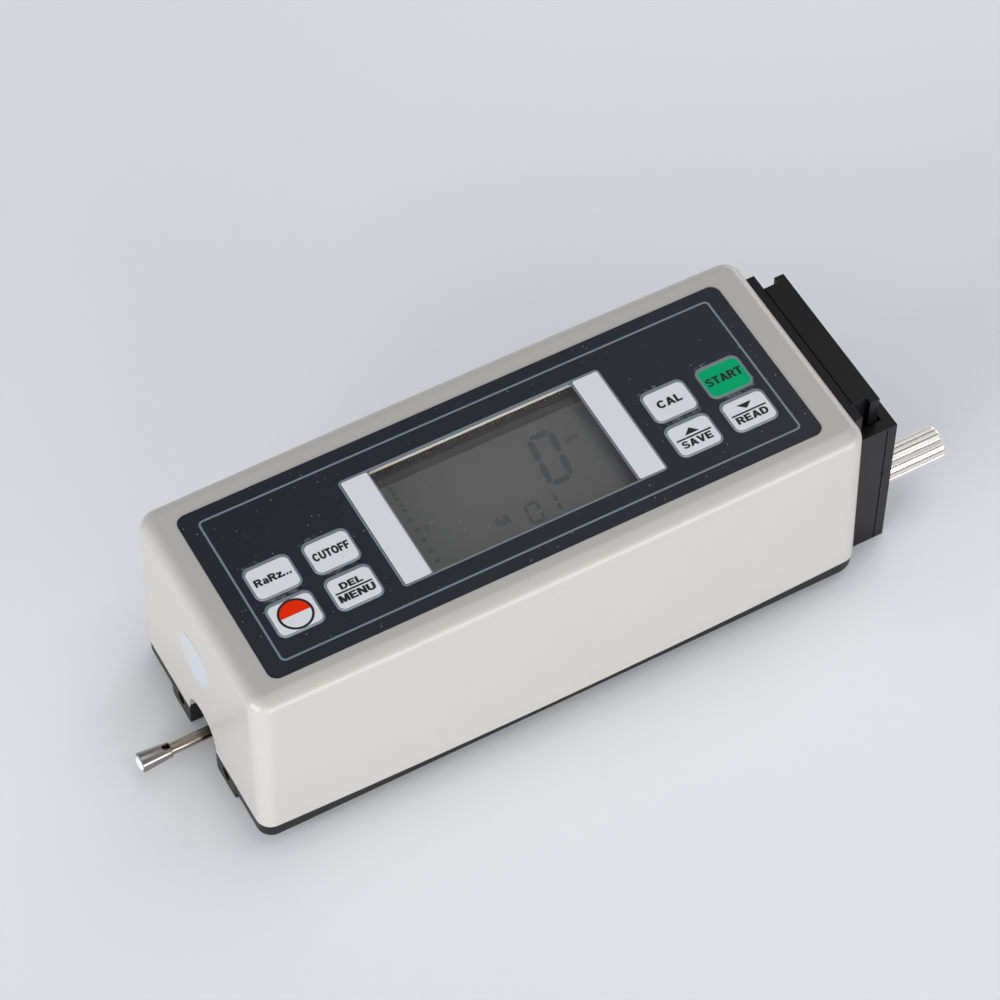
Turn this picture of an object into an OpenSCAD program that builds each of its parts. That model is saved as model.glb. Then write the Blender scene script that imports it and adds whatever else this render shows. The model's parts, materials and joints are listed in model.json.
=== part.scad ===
// Surface roughness tester: moulded case on a base plate, driven stylus pickup, sliding rear support.
// X runs along the case, from the pickup (-X) to the rear support (+X). Z = 0 is what it stands on.

/* [Case] */
// Length of the case at its bottom edge
case_l = 140; // [134:1:160]
// Width of the case at the corners of its bottom edge
case_w = 55.8; // [53:0.2:64]
// Height of the top face above the surface the tester stands on
body_h = 48.9; // [47:0.1:58]
// Thickness of the side walls
case_wall = 2.2; // [1.6:0.1:3]
// Thickness of the top wall
top_wall = 2; // [1.4:0.1:2.6]
// How far each side leans in from bottom to top
case_draft = 0.8; // [0.2:0.1:1.2]
// How far each long side bows out at the middle
side_bow = 0.4; // [0:0.1:0.8]
// Radius of the upright corners at the bottom
corner_r = 3.4; // [2.6:0.1:5]
// Radius of the upright corners at the top
corner_top_r = 5; // [3.6:0.1:6]
// Radius of the top edge
top_edge_r = 3; // [1.5:0.1:3.5]
// Radius of the arch that the pickup comes out of
arch_r = 6.1; // [5.5:0.1:7]
// Height of the arch's centre above the bottom edge of the case
arch_rise = 1.4; // [0.5:0.1:4]

/* [Key film and display] */
// Width of the border of the top face at each end of the film
film_end = 7.3; // [6:0.1:9]
// Width of the border of the top face along each long side of the film
film_side = 5.95; // [5:0.05:8]
// Corner radius of the film
film_r = 2.2; // [1:0.1:4]
// Thickness of the film
film_t = 0.4; // [0.35:0.05:0.6]
// Depth of the recess that the film lies in
film_recess = 0.3; // [0.1:0.05:0.35]
// How far the film is set towards the near side
film_shift = 0.5; // [0:0.1:1]
// Length of the display window
window_l = 46.6; // [40:0.2:50]
// Width of the display window
window_w = 28.5; // [24:0.1:30]
// Length of a key cap
key_w = 9.7; // [8:0.1:10.5]
// Width of a key cap
key_h = 8.2; // [6.5:0.1:8.4]
// Corner radius of a key cap
key_r = 1.5; // [0.8:0.1:2.5]
// How far a key cap stands above the film
key_proud = 0.15; // [0.05:0.05:0.5]
// Travel of a key
key_travel = 0.35; // [0.2:0.05:0.5]
// Distance from the end of the film to the middle of a key block
key_block_end = 17.45; // [16.5:0.05:18.5]
// Distance between key columns
key_pitch_x = 13; // [12.6:0.1:13.6]
// Distance between key rows
key_pitch_y = 9.85; // [9.6:0.05:10.5]
// Depth of the display glass below the top face
lcd_drop = 3; // [2.8:0.1:4]

/* [Base plate] */
// Clear height under the base plate
ground_gap = 2.9; // [1.5:0.1:4]
// Thickness of the base plate
plate_t = 3; // [2.6:0.1:4]
// How far the plate stands back from the case's edge
plate_inset = 0.1; // [0:0.1:1]
// Width of a front lug
lug_w = 8.7; // [7:0.1:10]
// Depth of a front lug
lug_depth = 8; // [5:0.5:12]
// Diameter of the hole in each lug
lug_hole_d = 3; // [2:0.1:3.2]

/* [Pickup and drive] */
// How far the pickup's tip stands out of the case
pickup_reach = 14.95; // [12:0.05:20]
// Height of the pickup's axis
pickup_z = 4.4; // [4.2:0.1:5]
// Diameter of the pickup's stem
stem_d = 2.6; // [2.2:0.1:3]
// Diameter of the pickup's head at its front end
head_d = 4.4; // [4:0.1:4.6]
// Diameter of the pickup's head at its rear end
head_rear_d = 3.3; // [3.2:0.05:4]
// Length of the pickup's head
head_l = 6.85; // [6:0.05:10]
// Distance from the case's front to the pivot of the pickup
pivot_back = 58; // [56:0.5:62]
// Longest traverse of the pickup
stroke = 17.5; // [10:0.5:18]
// Diameter of the lead screw
screw_d = 4; // [3:0.1:5]
// Diameter of the guide rods
rod_d = 3; // [2:0.1:4]
// Height of the lead screw above the base plate
screw_rise = 10; // [9.8:0.1:11]
// Diameter of the drive motor
motor_d = 15; // [12:0.5:16]
// Length of the drive motor
motor_l = 26; // [22:0.5:28]

/* [Rear support] */
// Width of the rail's foot, against the case
rail_foot_w = 43; // [40:0.2:46]
// Width of the rail's web
rail_web_w = 35; // [30:0.2:36]
// Width of the rail's flange
rail_flange_w = 38; // [37:0.2:41]
// Thickness of the rail's foot
rail_foot_t = 2; // [1.5:0.1:3]
// Gap between the rail's foot and flange
rail_gap = 3.4; // [3:0.1:5]
// Thickness of the rail's flange
rail_flange_t = 2.3; // [2:0.1:3]
// How far the top of the rail lies below the top face
rail_drop = 2.9; // [1:0.1:5]
// Height of the sliding support
slide_h = 38.7; // [34:0.1:40]
// Width of the sliding support
slide_w = 43.9; // [43.6:0.1:48]
// Thickness of the plate behind the sliding block
slide_plate_t = 2.3; // [1.8:0.1:4]
// Diameter of the clamp knob
knob_d = 7.1; // [6:0.1:9]
// Length of the fluted part of the clamp knob
knob_l = 15.4; // [8:0.1:18]
// Number of flutes on the clamp knob
knob_flutes = 18; // [12:1:24]
// Distance of the clamp knob from the middle, towards the near side
knob_y = 15; // [12:0.1:16.5]
// Height of the clamp knob
knob_z = 14; // [10:0.1:30]

/* [Hidden] */
$fn = 48;

// clearances
fit = 0.05;
slip = 0.15;
run = 0.35;
thin = 0.01;
over = 1;

// colours
cream = [0.84, 0.83, 0.80];
ink = [0.13, 0.15, 0.18];
black = [0.09, 0.09, 0.10];
steel = [0.74, 0.74, 0.75];
nickel = [0.80, 0.78, 0.74];
brass_tone = [0.78, 0.62, 0.30];
board_green = [0.10, 0.34, 0.20];

// heights
z_seam = ground_gap + plate_t;
z_film = body_h - film_recess;
z_film_top = z_film + film_t;
z_ceiling = body_h - top_wall;
z_lcd = body_h - lcd_drop;

// case outline: rounded corners and bowed long sides
arc_n = 8;
side_n = 10;
function arc(cx, cy, r, a0) =
    [for (i = [0 : arc_n]) [cx + r * cos(a0 + 90 * i / arc_n), cy + r * sin(a0 + 90 * i / arc_n)]];
function bowed(half_l, half_w, side) =
    [for (i = [1 : side_n - 1]) let (t = 2 * i / side_n - 1)
        [-side * t * half_l, side * (half_w + side_bow * (1 - t * t))]];
function outline(inset, r) = let (hl = case_l / 2 - inset, hw = case_w / 2 - inset) concat(
    arc(hl - r, hw - r, r, 0), bowed(hl - r, hw, 1), arc(r - hl, hw - r, r, 90),
    arc(r - hl, r - hw, r, 180), bowed(hl - r, hw, -1), arc(hl - r, r - hw, r, 270));

// film layout
film_l = case_l - 2 * film_end;
film_w = case_w - 2 * film_side;
film_y = -film_shift;
window_shift = 0.35;
window_y = film_y - window_shift;
window_ledge = 0.4;
window_r = 0.6;
window_rim_t = 1.1;
window_relief = 2.4;
key_block_x = film_l / 2 - key_block_end;
key_row_shift = 5.05;
key_row_y = film_y - key_row_shift;
key_x0 = key_block_x - key_pitch_x / 2;
key_x1 = key_block_x + key_pitch_x / 2;
key_y0 = key_row_y + key_pitch_y / 2;
key_y1 = key_row_y - key_pitch_y / 2;
KEYS = [
    ["key_parameter", [-key_x1, key_y0]], ["key_cutoff", [-key_x0, key_y0]],
    ["key_power", [-key_x1, key_y1]], ["key_menu", [-key_x0, key_y1]],
    ["key_calibrate", [key_x0, key_y0]], ["key_start", [key_x1, key_y0]],
    ["key_up", [key_x0, key_y1]], ["key_down", [key_x1, key_y1]]];
key_lip = 0.5;
key_lip_t = 0.8;
key_post_d = 4;
key_post_l = 0.8;
z_key_lip = z_ceiling - fit - key_lip_t;
z_key_post = z_key_lip - key_post_l;

// display, board and what is on it
lcd_t = 2.6;
lcd_l = window_l + 4;
lcd_w = window_w + 4;
lcd_y = window_y + 0.3;
lcd_step = 3.15;
holder_t = 2.5;
holder_rim = 1.6;
holder_rise = 1.2;
holder_land = 3;
z_board = z_lcd - lcd_t - holder_t;
board_t = 1.6;
board_end = 10;
board_l = case_l - 2 * board_end;
board_w = case_w - 9.8;
board_hole_x = key_block_x;
board_hole_edge = 3.55;
board_hole_y = board_w / 2 - board_hole_edge;
board_boss_d = 5.4;
board_screw_d = 2;
board_screw_l = 4;
board_screw_head_t = 1.4;
// chips under the board: middle, length, width, height
cpu_w = 14;
memory_l = 10;
memory_w = 8;
CHIPS = [[[-27, 0], cpu_w, cpu_w, 1.6], [[-1, 0], memory_l, memory_w, 1.4], [[19, -13.5], memory_l, 5, 3]];
pin_n = 38;
pin_w = 0.5;
pin_t = 0.4;
pin_hook_l = 2.6;
pin_edge = 2;
switch_w = 6;
switch_t = 2.6;
plunger_d = 3.4;
z_plunger = z_key_post - key_travel - 0.1;

// charging socket on the far edge of the board
jack_from_hole = 14;
jack_x = board_hole_x - jack_from_hole;
jack_w = 9;
jack_l = 7.5;
jack_h = 3.2;
jack_r = 1.2;
jack_wall = 0.35;
jack_gap = 0.5;
jack_tongue_w = 6;
jack_tongue_t = 0.7;
jack_y1 = board_w / 2 + 1.2;
jack_z = z_board + jack_h / 2;

// screws that hold the base plate
corner_screw_d = 2.5;
corner_screw_bite = 8;
corner_boss_d = 6.4;
corner_x = case_l / 2 - case_wall - 2.8;
corner_y = case_w / 2 - case_wall - 2.8;
csk_h = 1.4;

// base plate
plate_l = case_l - 2 * plate_inset;
plate_w = case_w - 2 * plate_inset;
plate_r = corner_r - plate_inset;
lug_proud = 0.1;
lug_r = 1;
lug_x0 = -plate_l / 2 - lug_proud;
lug_y = arch_r + lug_w / 2;
lug_z = z_seam - lug_hole_d / 2 - 0.5;

// pickup, from its tip backwards
front_x = -case_l / 2;
tip_x = front_x - pickup_reach;
plug_t = 0.6;
head_x0 = tip_x + plug_t;
head_x1 = head_x0 + head_l;
head_bore_d = head_d - 1.2;
head_seat_l = 1.6;
head_slot_w = 1.2;
head_slot_l = 1.6;
stem_x0 = head_x1 - head_slot_l - head_seat_l;
stem_bore_d = stem_d - 0.8;
stylus_hole_d = 1.3;
stylus_x = head_x0 + 1.6;
stylus_d = 0.7;
stylus_drop = head_d / 2 + 0.5;
stylus_tip_d = 0.1;
pivot_x = front_x + pivot_back;
socket_d = 5.4;
socket_x0 = pivot_x - 14;
socket_x1 = pivot_x + 5;
socket_bore_d = 3.2;
socket_bore_l = 9;
collar_l = 3;
collar_d = 4.2;
stem_x1 = socket_x0 - collar_l;
stylus_back = 15;
stylus_pivot_x = stem_x0 + stylus_back;
stylus_pin_d = 0.4;
stylus_eye_d = 1;
stylus_eye_w = 0.6;

// pivot of the pickup, under the carriage
pivot_d = 2;
pivot_z = pickup_z + 4.6;
tongue_w = 5;
tongue_l = 4.4;
tongue_top = 1.7;
ear_t = 2;
ear_drop = 2.2;

// drive unit
frame_t = 2.5;
frame_deck_t = 2;
frame_x0 = pivot_x - 10;
carriage_l = 14;
carriage_x0 = frame_x0 + frame_t + 1;
carriage_w = 26;
carriage_t = 9;
screw_z = z_seam + screw_rise;
carriage_z0 = screw_z - carriage_t / 2;
motor_x1 = case_l / 2 - case_wall - 3.4;
motor_x0 = motor_x1 - motor_l;
bracket_t = 2.5;
bracket_x0 = motor_x0 - bracket_t;
bracket_w = 20;
bracket_foot_l = 10;
bracket_foot_t = 2.2;
shaft_d = 3;
motor_nose_d = 6;
coupling_l = 11;
coupling_d = 9;
coupling_x0 = bracket_x0 - 0.6 - coupling_l;
frame_x1 = coupling_x0 - 2.4;
frame_w = 30;
frame_h = 18;
rod_y = 10;
bearing_od = 8;
screw_end_l = 1.5;
screw_end_d = screw_d + 2;
shaft_depth = 3;
end_gap = 0.3;
cap_l = 1.5;
cap_d = 5;
foot_w = 7;
foot_l = 6.5;
foot_t = 5;
slot_x1 = pivot_x + 5 + stroke + 3;
small_screw_d = 2.5;
frame_screw_y = frame_w / 2 - foot_w / 2;
front_foot_x = frame_x0 - foot_l / 2 + frame_t;
rear_foot_x = frame_x1 + foot_l / 2 - frame_t;
bracket_screw_x = motor_x0 + bracket_foot_l / 2;
bracket_screw_y = bracket_w / 2 - 3;

// battery on top of the drive frame
battery_l = frame_x1 - frame_x0;
battery_w = frame_w - 4;
battery_t = 9;
battery_r = 2;

// rear support
rail_x0 = case_l / 2 + 0.5;
rail_x1 = rail_x0 + rail_foot_t;
rail_x2 = rail_x1 + rail_gap;
rail_x3 = rail_x2 + rail_flange_t;
rail_z0 = 8.5;
rail_z1 = body_h - rail_drop;
rail_screw_d = 3;
rail_screw_head = 5.6;
rail_screw_y = 8;
rail_screw_zs = [rail_z0 + 6.5, rail_z1 - 10];
rail_pad_d = 8;
rail_boss_l = 4;
rail_screw_end = 1.6;
slide_x1 = rail_x3 + 0.8;
slide_x2 = slide_x1 + slide_plate_t;
slide_x0 = rail_x1 + run;
slide_floor = 3;
slide_screw_y = slide_w / 2 - 1.3;
slide_screw_d = 1.4;
slide_screw_head = 2.2;
slide_screw_l = 4;
slide_screw_zs = [6, slide_h - 6];
knob_screw_d = 4;
knob_collar_d = 5.6;
knob_collar_l = 1.4;
knob_chamfer = 0.7;
flute_d = 0.7;
knob_lift = 0.2;
knob_x0 = slide_x2 + knob_lift + knob_collar_l;

// the middle of the whole length goes to X = 0
mid_x = (tip_x + knob_x0 + knob_l) / 2;

// shared shapes
function about(c, half) = [c - half, c + half];
module place() {
    translate([-mid_x, 0, 0]) children();
}
module box(x, y, z) {
    translate([x[0], y[0], z[0]]) cube([x[1] - x[0], y[1] - y[0], z[1] - z[0]]);
}
module rounded(l, w, r) {
    square([l - 2 * r, w], center = true);
    square([l, w - 2 * r], center = true);
    for (x = [-1, 1], y = [-1, 1]) translate([x * (l / 2 - r), y * (w / 2 - r)]) circle(r);
}
module tablet(at, l, w, r, z) {
    translate([at[0], at[1], z[0]]) linear_extrude(z[1] - z[0]) rounded(l, w, r);
}
module bar_x(x, y, z, d) {
    translate([x[0], y, z]) rotate([0, 90, 0]) cylinder(d = d, h = x[1] - x[0]);
}
module bar_y(x, y, z, d) {
    translate([x, y[0], z]) rotate([-90, 0, 0]) cylinder(d = d, h = y[1] - y[0]);
}
module bar_z(x, y, z, d) {
    translate([x, y, z[0]]) cylinder(d = d, h = z[1] - z[0]);
}
// Countersunk screw pointing along +Z, with its flat head at the origin
module csk_screw(d, l, grow = 0) {
    cylinder(d1 = 1.8 * d + 2 * grow, d2 = d + 2 * grow, h = csk_h);
    cylinder(d = d + 2 * grow, h = l);
}
module at_corners(x, y) {
    for (sx = [-1, 1], sy = [-1, 1]) translate([sx * x, sy * y, 0]) children();
}
module key_openings(grow, z) {
    for (k = KEYS) tablet(k[1], key_w + 2 * grow, key_h + 2 * grow, key_r + grow, z);
}
module case_ring(inset, z, r) {
    translate([0, 0, z]) linear_extrude(thin) polygon(outline(inset, max(r, 0.6)));
}

// Case: drafted shell with a rounded top edge, bosses, arch and openings
module case_block() {
    hull() {
        case_ring(0, z_seam, corner_r);
        for (a = [0 : 15 : 90])
            case_ring(case_draft + top_edge_r * (1 - cos(a)), body_h - thin - top_edge_r * (1 - sin(a)),
                corner_top_r - top_edge_r * (1 - cos(a)));
    }
}
module case_hollow() {
    hull() {
        case_ring(case_wall, z_seam - over, corner_r - case_wall);
        case_ring(case_wall + case_draft, z_ceiling - thin, corner_top_r - case_wall);
    }
}
module case_bosses() {
    at_corners(corner_x, corner_y) bar_z(0, 0, [z_seam, z_ceiling + thin], corner_boss_d);
    at_corners(board_hole_x, board_hole_y) bar_z(0, 0, [z_board, z_ceiling + thin], board_boss_d);
    for (y = [-1, 1], z = rail_screw_zs)
        bar_x([case_l / 2 - case_wall - rail_boss_l, rail_x0], y * rail_screw_y, z, rail_pad_d);
}
module case() {
    place() color(cream) difference() {
        union() {
            difference() {
                case_block();
                case_hollow();
            }
            case_bosses();
        }
        tablet([0, film_y], film_l + 2 * fit, film_w + 2 * fit, film_r, [z_film, body_h + over]);
        tablet([0, window_y], window_l - 2 * window_ledge, window_w - 2 * window_ledge, window_r,
            [z_ceiling - over, body_h + over]);
        tablet([0, window_y], window_l + 2 * window_relief, window_w + 2 * window_relief, window_relief,
            [z_ceiling - over, z_film - window_rim_t]);
        key_openings(slip + fit, [z_ceiling - over, body_h + over]);
        bar_x([front_x - over, front_x + case_wall + case_draft + over], 0, z_seam + arch_rise,
            2 * arch_r);
        box([front_x - over, front_x + case_wall + case_draft + over], about(0, arch_r),
            [z_seam - over, z_seam + arch_rise]);
        at_corners(corner_x, corner_y)
            bar_z(0, 0, [z_seam - over, z_seam + corner_screw_bite + over], corner_screw_d + 2 * fit);
        at_corners(board_hole_x, board_hole_y)
            bar_z(0, 0, [z_board - over, z_board + board_screw_l + run], board_screw_d + 2 * fit);
        for (y = [-1, 1], z = rail_screw_zs)
            bar_x([case_l / 2 - case_wall - rail_boss_l + 1, rail_x0 + over], y * rail_screw_y, z,
                rail_screw_d + 2 * fit);
        jack_prism(jack_w + 2 * jack_gap, jack_h + 2 * jack_gap, jack_r + jack_gap,
            [jack_y1 - jack_gap, case_w / 2 + side_bow + over]);
    }
}

// Printed film with openings for the window and the keys
module keypad_overlay() {
    place() color(ink) difference() {
        tablet([0, film_y], film_l, film_w, film_r, [z_film, z_film_top]);
        tablet([0, window_y], window_l, window_w, window_r + fit, [z_film - over, z_film_top + over]);
        key_openings(slip, [z_film - over, z_film_top + over]);
    }
}
module display_window() {
    place() color([0.75, 0.78, 0.80, 0.4])
        tablet([0, window_y], window_l - 2 * fit, window_w - 2 * fit, window_r, [z_film, z_film_top]);
}

// Key cap with a lip that holds it under the top wall and a post over its switch
module key(at, tone) {
    place() color(tone) {
        tablet(at, key_w, key_h, key_r, [z_key_lip, z_film_top + key_proud]);
        tablet(at, key_w + 2 * key_lip + 2 * slip, key_h + 2 * key_lip + 2 * slip, key_r + key_lip,
            [z_key_lip, z_key_lip + key_lip_t]);
        bar_z(at[0], at[1], [z_key_post, z_key_lip], key_post_d);
    }
}

// Display glass: front and back plates with the back one longer on the pin side
module lcd_panel() {
    place() color([0.42, 0.43, 0.40]) {
        box(about(0, lcd_l / 2), about(lcd_y, lcd_w / 2), [z_lcd - lcd_t, z_lcd - lcd_t / 2]);
        box(about(0, lcd_l / 2), [lcd_y - lcd_w / 2, lcd_y + lcd_w / 2 - lcd_step],
            [z_lcd - lcd_t / 2, z_lcd]);
    }
}
module lcd_pins() {
    pitch = (lcd_l - 2 * pin_edge) / (pin_n - 1);
    y0 = lcd_y + lcd_w / 2;
    z0 = z_lcd - lcd_t / 2;
    place() color(steel) for (i = [0 : pin_n - 1]) translate([(i - (pin_n - 1) / 2) * pitch, 0, 0]) {
        box(about(0, pin_w / 2), [y0, y0 + pin_t], [z_board, z0 + pin_t]);
        box(about(0, pin_w / 2), [y0 - pin_hook_l, y0 + pin_t], [z0, z0 + pin_t]);
    }
}
module lcd_holder() {
    place() color("white") difference() {
        box(about(0, lcd_l / 2 + holder_rim),
            [lcd_y - lcd_w / 2 - holder_rim, lcd_y + lcd_w / 2 - run],
            [z_board, z_lcd - lcd_t + holder_rise]);
        box(about(0, lcd_l / 2 + fit), [lcd_y - lcd_w / 2 - fit, lcd_y + lcd_w / 2 + over],
            [z_lcd - lcd_t, z_lcd + over]);
        box(about(0, lcd_l / 2 - holder_land), about(lcd_y, lcd_w / 2 - holder_land),
            [z_board - over, z_lcd]);
    }
}

// Circuit board with its main chips underneath
module main_board() {
    place() color(board_green) difference() {
        union() {
            box(about(0, board_l / 2), about(0, board_w / 2), [z_board - board_t, z_board]);
            for (c = CHIPS)
                box(about(c[0][0], c[1] / 2), about(c[0][1], c[2] / 2),
                    [z_board - board_t - c[3], z_board - board_t]);
        }
        at_corners(board_hole_x, board_hole_y)
            bar_z(0, 0, [z_board - board_t - over, z_board + over], board_screw_d + 2 * fit);
    }
}
module key_switches() {
    place() color(black) for (k = KEYS) {
        box(about(k[1][0], switch_w / 2), about(k[1][1], switch_w / 2), [z_board, z_board + switch_t]);
        bar_z(k[1][0], k[1][1], [z_board + switch_t, z_plunger], plunger_d);
    }
}
module board_screws() {
    place() color(steel) at_corners(board_hole_x, board_hole_y) {
        bar_z(0, 0, [z_board - board_t - board_screw_head_t, z_board - board_t], 1.9 * board_screw_d);
        bar_z(0, 0, [z_board - board_t, z_board + board_screw_l], board_screw_d);
    }
}
module battery_pack() {
    place() color([0.20, 0.35, 0.60]) translate([(frame_x0 + frame_x1) / 2, 0, z_seam + frame_h])
        rotate([90, 0, 90]) translate([0, battery_t / 2, -battery_l / 2])
            linear_extrude(battery_l) rounded(battery_w, battery_t, battery_r);
}
module jack_prism(w, h, r, y) {
    translate([jack_x, y[1], jack_z]) rotate([90, 0, 0]) linear_extrude(y[1] - y[0]) rounded(w, h, r);
}
module charging_socket() {
    place() color(steel) difference() {
        jack_prism(jack_w, jack_h, jack_r, [jack_y1 - jack_l, jack_y1]);
        jack_prism(jack_w - 2 * jack_wall, jack_h - 2 * jack_wall, jack_r - jack_wall,
            [jack_y1 - jack_l + 1, jack_y1 + over]);
    }
    place() color(black) jack_prism(jack_tongue_w, jack_tongue_t, jack_tongue_t / 4,
        [jack_y1 - jack_l + jack_gap, jack_y1 - jack_gap]);
}

// Base plate with the pickup's slot and the two front lugs
module base_plate() {
    place() color(black) difference() {
        union() {
            tablet([0, 0], plate_l, plate_w, plate_r, [ground_gap, z_seam]);
            for (s = [-1, 1]) lug(s * lug_y);
        }
        box([lug_x0 - over, slot_x1 - arch_r], about(0, arch_r), [-over, z_seam + over]);
        bar_z(slot_x1 - arch_r, 0, [-over, z_seam + over], 2 * arch_r);
        for (s = [-1, 1]) bar_x([lug_x0 - over, lug_x0 + lug_depth + over], s * lug_y, lug_z, lug_hole_d);
        plate_screw_holes();
    }
}
module lug(y) {
    translate([lug_x0, y, 0]) rotate([90, 0, 90]) linear_extrude(lug_depth) {
        translate([-lug_w / 2, lug_r]) square([lug_w, z_seam - lug_r]);
        translate([-lug_w / 2 + lug_r, 0]) square([lug_w - 2 * lug_r, 2 * lug_r]);
        for (s = [-1, 1]) translate([s * (lug_w / 2 - lug_r), lug_r]) circle(lug_r);
    }
}
module plate_screw_holes() {
    translate([0, 0, ground_gap]) {
        at_corners(corner_x, corner_y) csk_screw(corner_screw_d, plate_t + over, fit);
        for (x = [front_foot_x, rear_foot_x], s = [-1, 1])
            translate([x, s * frame_screw_y, 0]) csk_screw(small_screw_d, plate_t + over, fit);
        for (s = [-1, 1])
            translate([bracket_screw_x, s * bracket_screw_y, 0])
                csk_screw(small_screw_d, plate_t + over, fit);
    }
}
module base_screws() {
    place() color(steel) translate([0, 0, ground_gap])
        at_corners(corner_x, corner_y) csk_screw(corner_screw_d, plate_t + corner_screw_bite);
}

// Drive frame: a bridge over the pickup's slot that carries the screw, the rods and the battery
module drive_frame() {
    place() color([0.62, 0.63, 0.65]) difference() {
        union() {
            box([frame_x0, frame_x0 + frame_t], about(0, frame_w / 2), [z_seam, z_seam + frame_h]);
            box([frame_x1 - frame_t, frame_x1], about(0, frame_w / 2), [z_seam, z_seam + frame_h]);
            box([frame_x0, frame_x1], about(0, frame_w / 2),
                [z_seam + frame_h - frame_deck_t, z_seam + frame_h]);
            for (x = [front_foot_x, rear_foot_x], s = [-1, 1])
                box(about(x, foot_l / 2), about(s * frame_screw_y, foot_w / 2), [z_seam, z_seam + foot_t]);
        }
        box([frame_x0 - over, frame_x0 + frame_t + over], about(0, arch_r), [z_seam - over, pivot_z - 0.4]);
        for (s = [-1, 1])
            bar_x([frame_x0 - over, frame_x1 + over], s * rod_y, screw_z, rod_d + 2 * fit);
        bar_x([frame_x0 - over, frame_x1 + over], 0, screw_z, bearing_od + 2 * fit);
        for (x = [front_foot_x, rear_foot_x], s = [-1, 1])
            bar_z(x, s * frame_screw_y, [z_seam - over, z_seam + foot_t + over], small_screw_d + 2 * fit);
    }
}
module frame_screws() {
    place() color(steel) for (x = [front_foot_x, rear_foot_x], s = [-1, 1])
        translate([x, s * frame_screw_y, ground_gap]) csk_screw(small_screw_d, plate_t + foot_t - 0.5);
}
module guide_rods() {
    place() color(steel) for (s = [-1, 1]) bar_x([frame_x0, frame_x1], s * rod_y, screw_z, rod_d);
}
module bearing(x0) {
    place() color(steel) difference() {
        bar_x([x0, x0 + frame_t], 0, screw_z, bearing_od);
        bar_x([x0 - over, x0 + frame_t + over], 0, screw_z, screw_d + 2 * fit);
    }
}
module front_bearing() {
    bearing(frame_x0);
}
module rear_bearing() {
    bearing(frame_x1 - frame_t);
}
module lead_screw() {
    place() color(nickel) {
        bar_x([frame_x0 - screw_end_l, coupling_x0 + coupling_l / 2 - end_gap], 0, screw_z, screw_d);
        bar_x([frame_x0 - screw_end_l, frame_x0 - end_gap], 0, screw_z, screw_end_d);
    }
}
module shaft_coupling() {
    mid = coupling_x0 + coupling_l / 2;
    place() color([0.70, 0.71, 0.73]) difference() {
        bar_x([coupling_x0, coupling_x0 + coupling_l], 0, screw_z, coupling_d);
        bar_x([coupling_x0 - over, mid], 0, screw_z, screw_d);
        bar_x([mid - thin, coupling_x0 + coupling_l + over], 0, screw_z, shaft_d);
    }
}
module motor_shaft() {
    place() color(steel)
        bar_x([coupling_x0 + coupling_l / 2 + end_gap, motor_x0 + shaft_depth], 0, screw_z, shaft_d);
}
module drive_motor() {
    gear_x1 = motor_x0 + 0.45 * motor_l;
    place() color([0.55, 0.56, 0.58]) difference() {
        union() {
            bar_x([motor_x0, gear_x1], 0, screw_z, motor_d);
            bar_x([gear_x1 - thin, motor_x1 - cap_l], 0, screw_z, motor_d - 1);
            bar_x([motor_x1 - cap_l - thin, motor_x1], 0, screw_z, cap_d);
            bar_x([bracket_x0, motor_x0 + thin], 0, screw_z, motor_nose_d);
        }
        bar_x([bracket_x0 - over, motor_x0 + shaft_depth + end_gap], 0, screw_z, shaft_d + 2 * fit);
    }
}
module motor_bracket() {
    place() color([0.62, 0.63, 0.65]) difference() {
        union() {
            box([bracket_x0, motor_x0], about(0, bracket_w / 2),
                [z_seam, screw_z + motor_d / 2 + 1]);
            box([bracket_x0, motor_x0 + bracket_foot_l], about(0, bracket_w / 2),
                [z_seam, z_seam + bracket_foot_t]);
        }
        bar_x([bracket_x0 - over, motor_x0 + over], 0, screw_z, motor_nose_d + 2 * fit);
        for (s = [-1, 1])
            bar_z(bracket_screw_x, s * bracket_screw_y, [z_seam - over, z_seam + bracket_foot_t + over],
                small_screw_d + 2 * fit);
    }
}
module bracket_screws() {
    place() color(steel) for (s = [-1, 1])
        translate([bracket_screw_x, s * bracket_screw_y, ground_gap])
            csk_screw(small_screw_d, plate_t + bracket_foot_t);
}

// Carriage with two ears that hold the pickup's pivot pin
module drive_carriage() {
    carriage_x1 = carriage_x0 + carriage_l;
    place() color(brass_tone) difference() {
        union() {
            box([carriage_x0, carriage_x1], about(0, carriage_w / 2), about(screw_z, carriage_t / 2));
            for (s = [-1, 1])
                box(about(pivot_x, tongue_l / 2), about(s * (tongue_w / 2 + slip + ear_t / 2), ear_t / 2),
                    [pivot_z - ear_drop, carriage_z0 + thin]);
        }
        bar_x([carriage_x0 - over, carriage_x1 + over], 0, screw_z, screw_d + 2 * fit);
        for (s = [-1, 1])
            bar_x([carriage_x0 - over, carriage_x1 + over], s * rod_y, screw_z, rod_d + 2 * fit);
        bar_y(pivot_x, [-carriage_w, carriage_w], pivot_z, pivot_d);
    }
}
module pivot_pin() {
    half = tongue_w / 2 + slip + ear_t;
    place() color(steel) bar_y(pivot_x, [-half, half], pivot_z, pivot_d);
}

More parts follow.
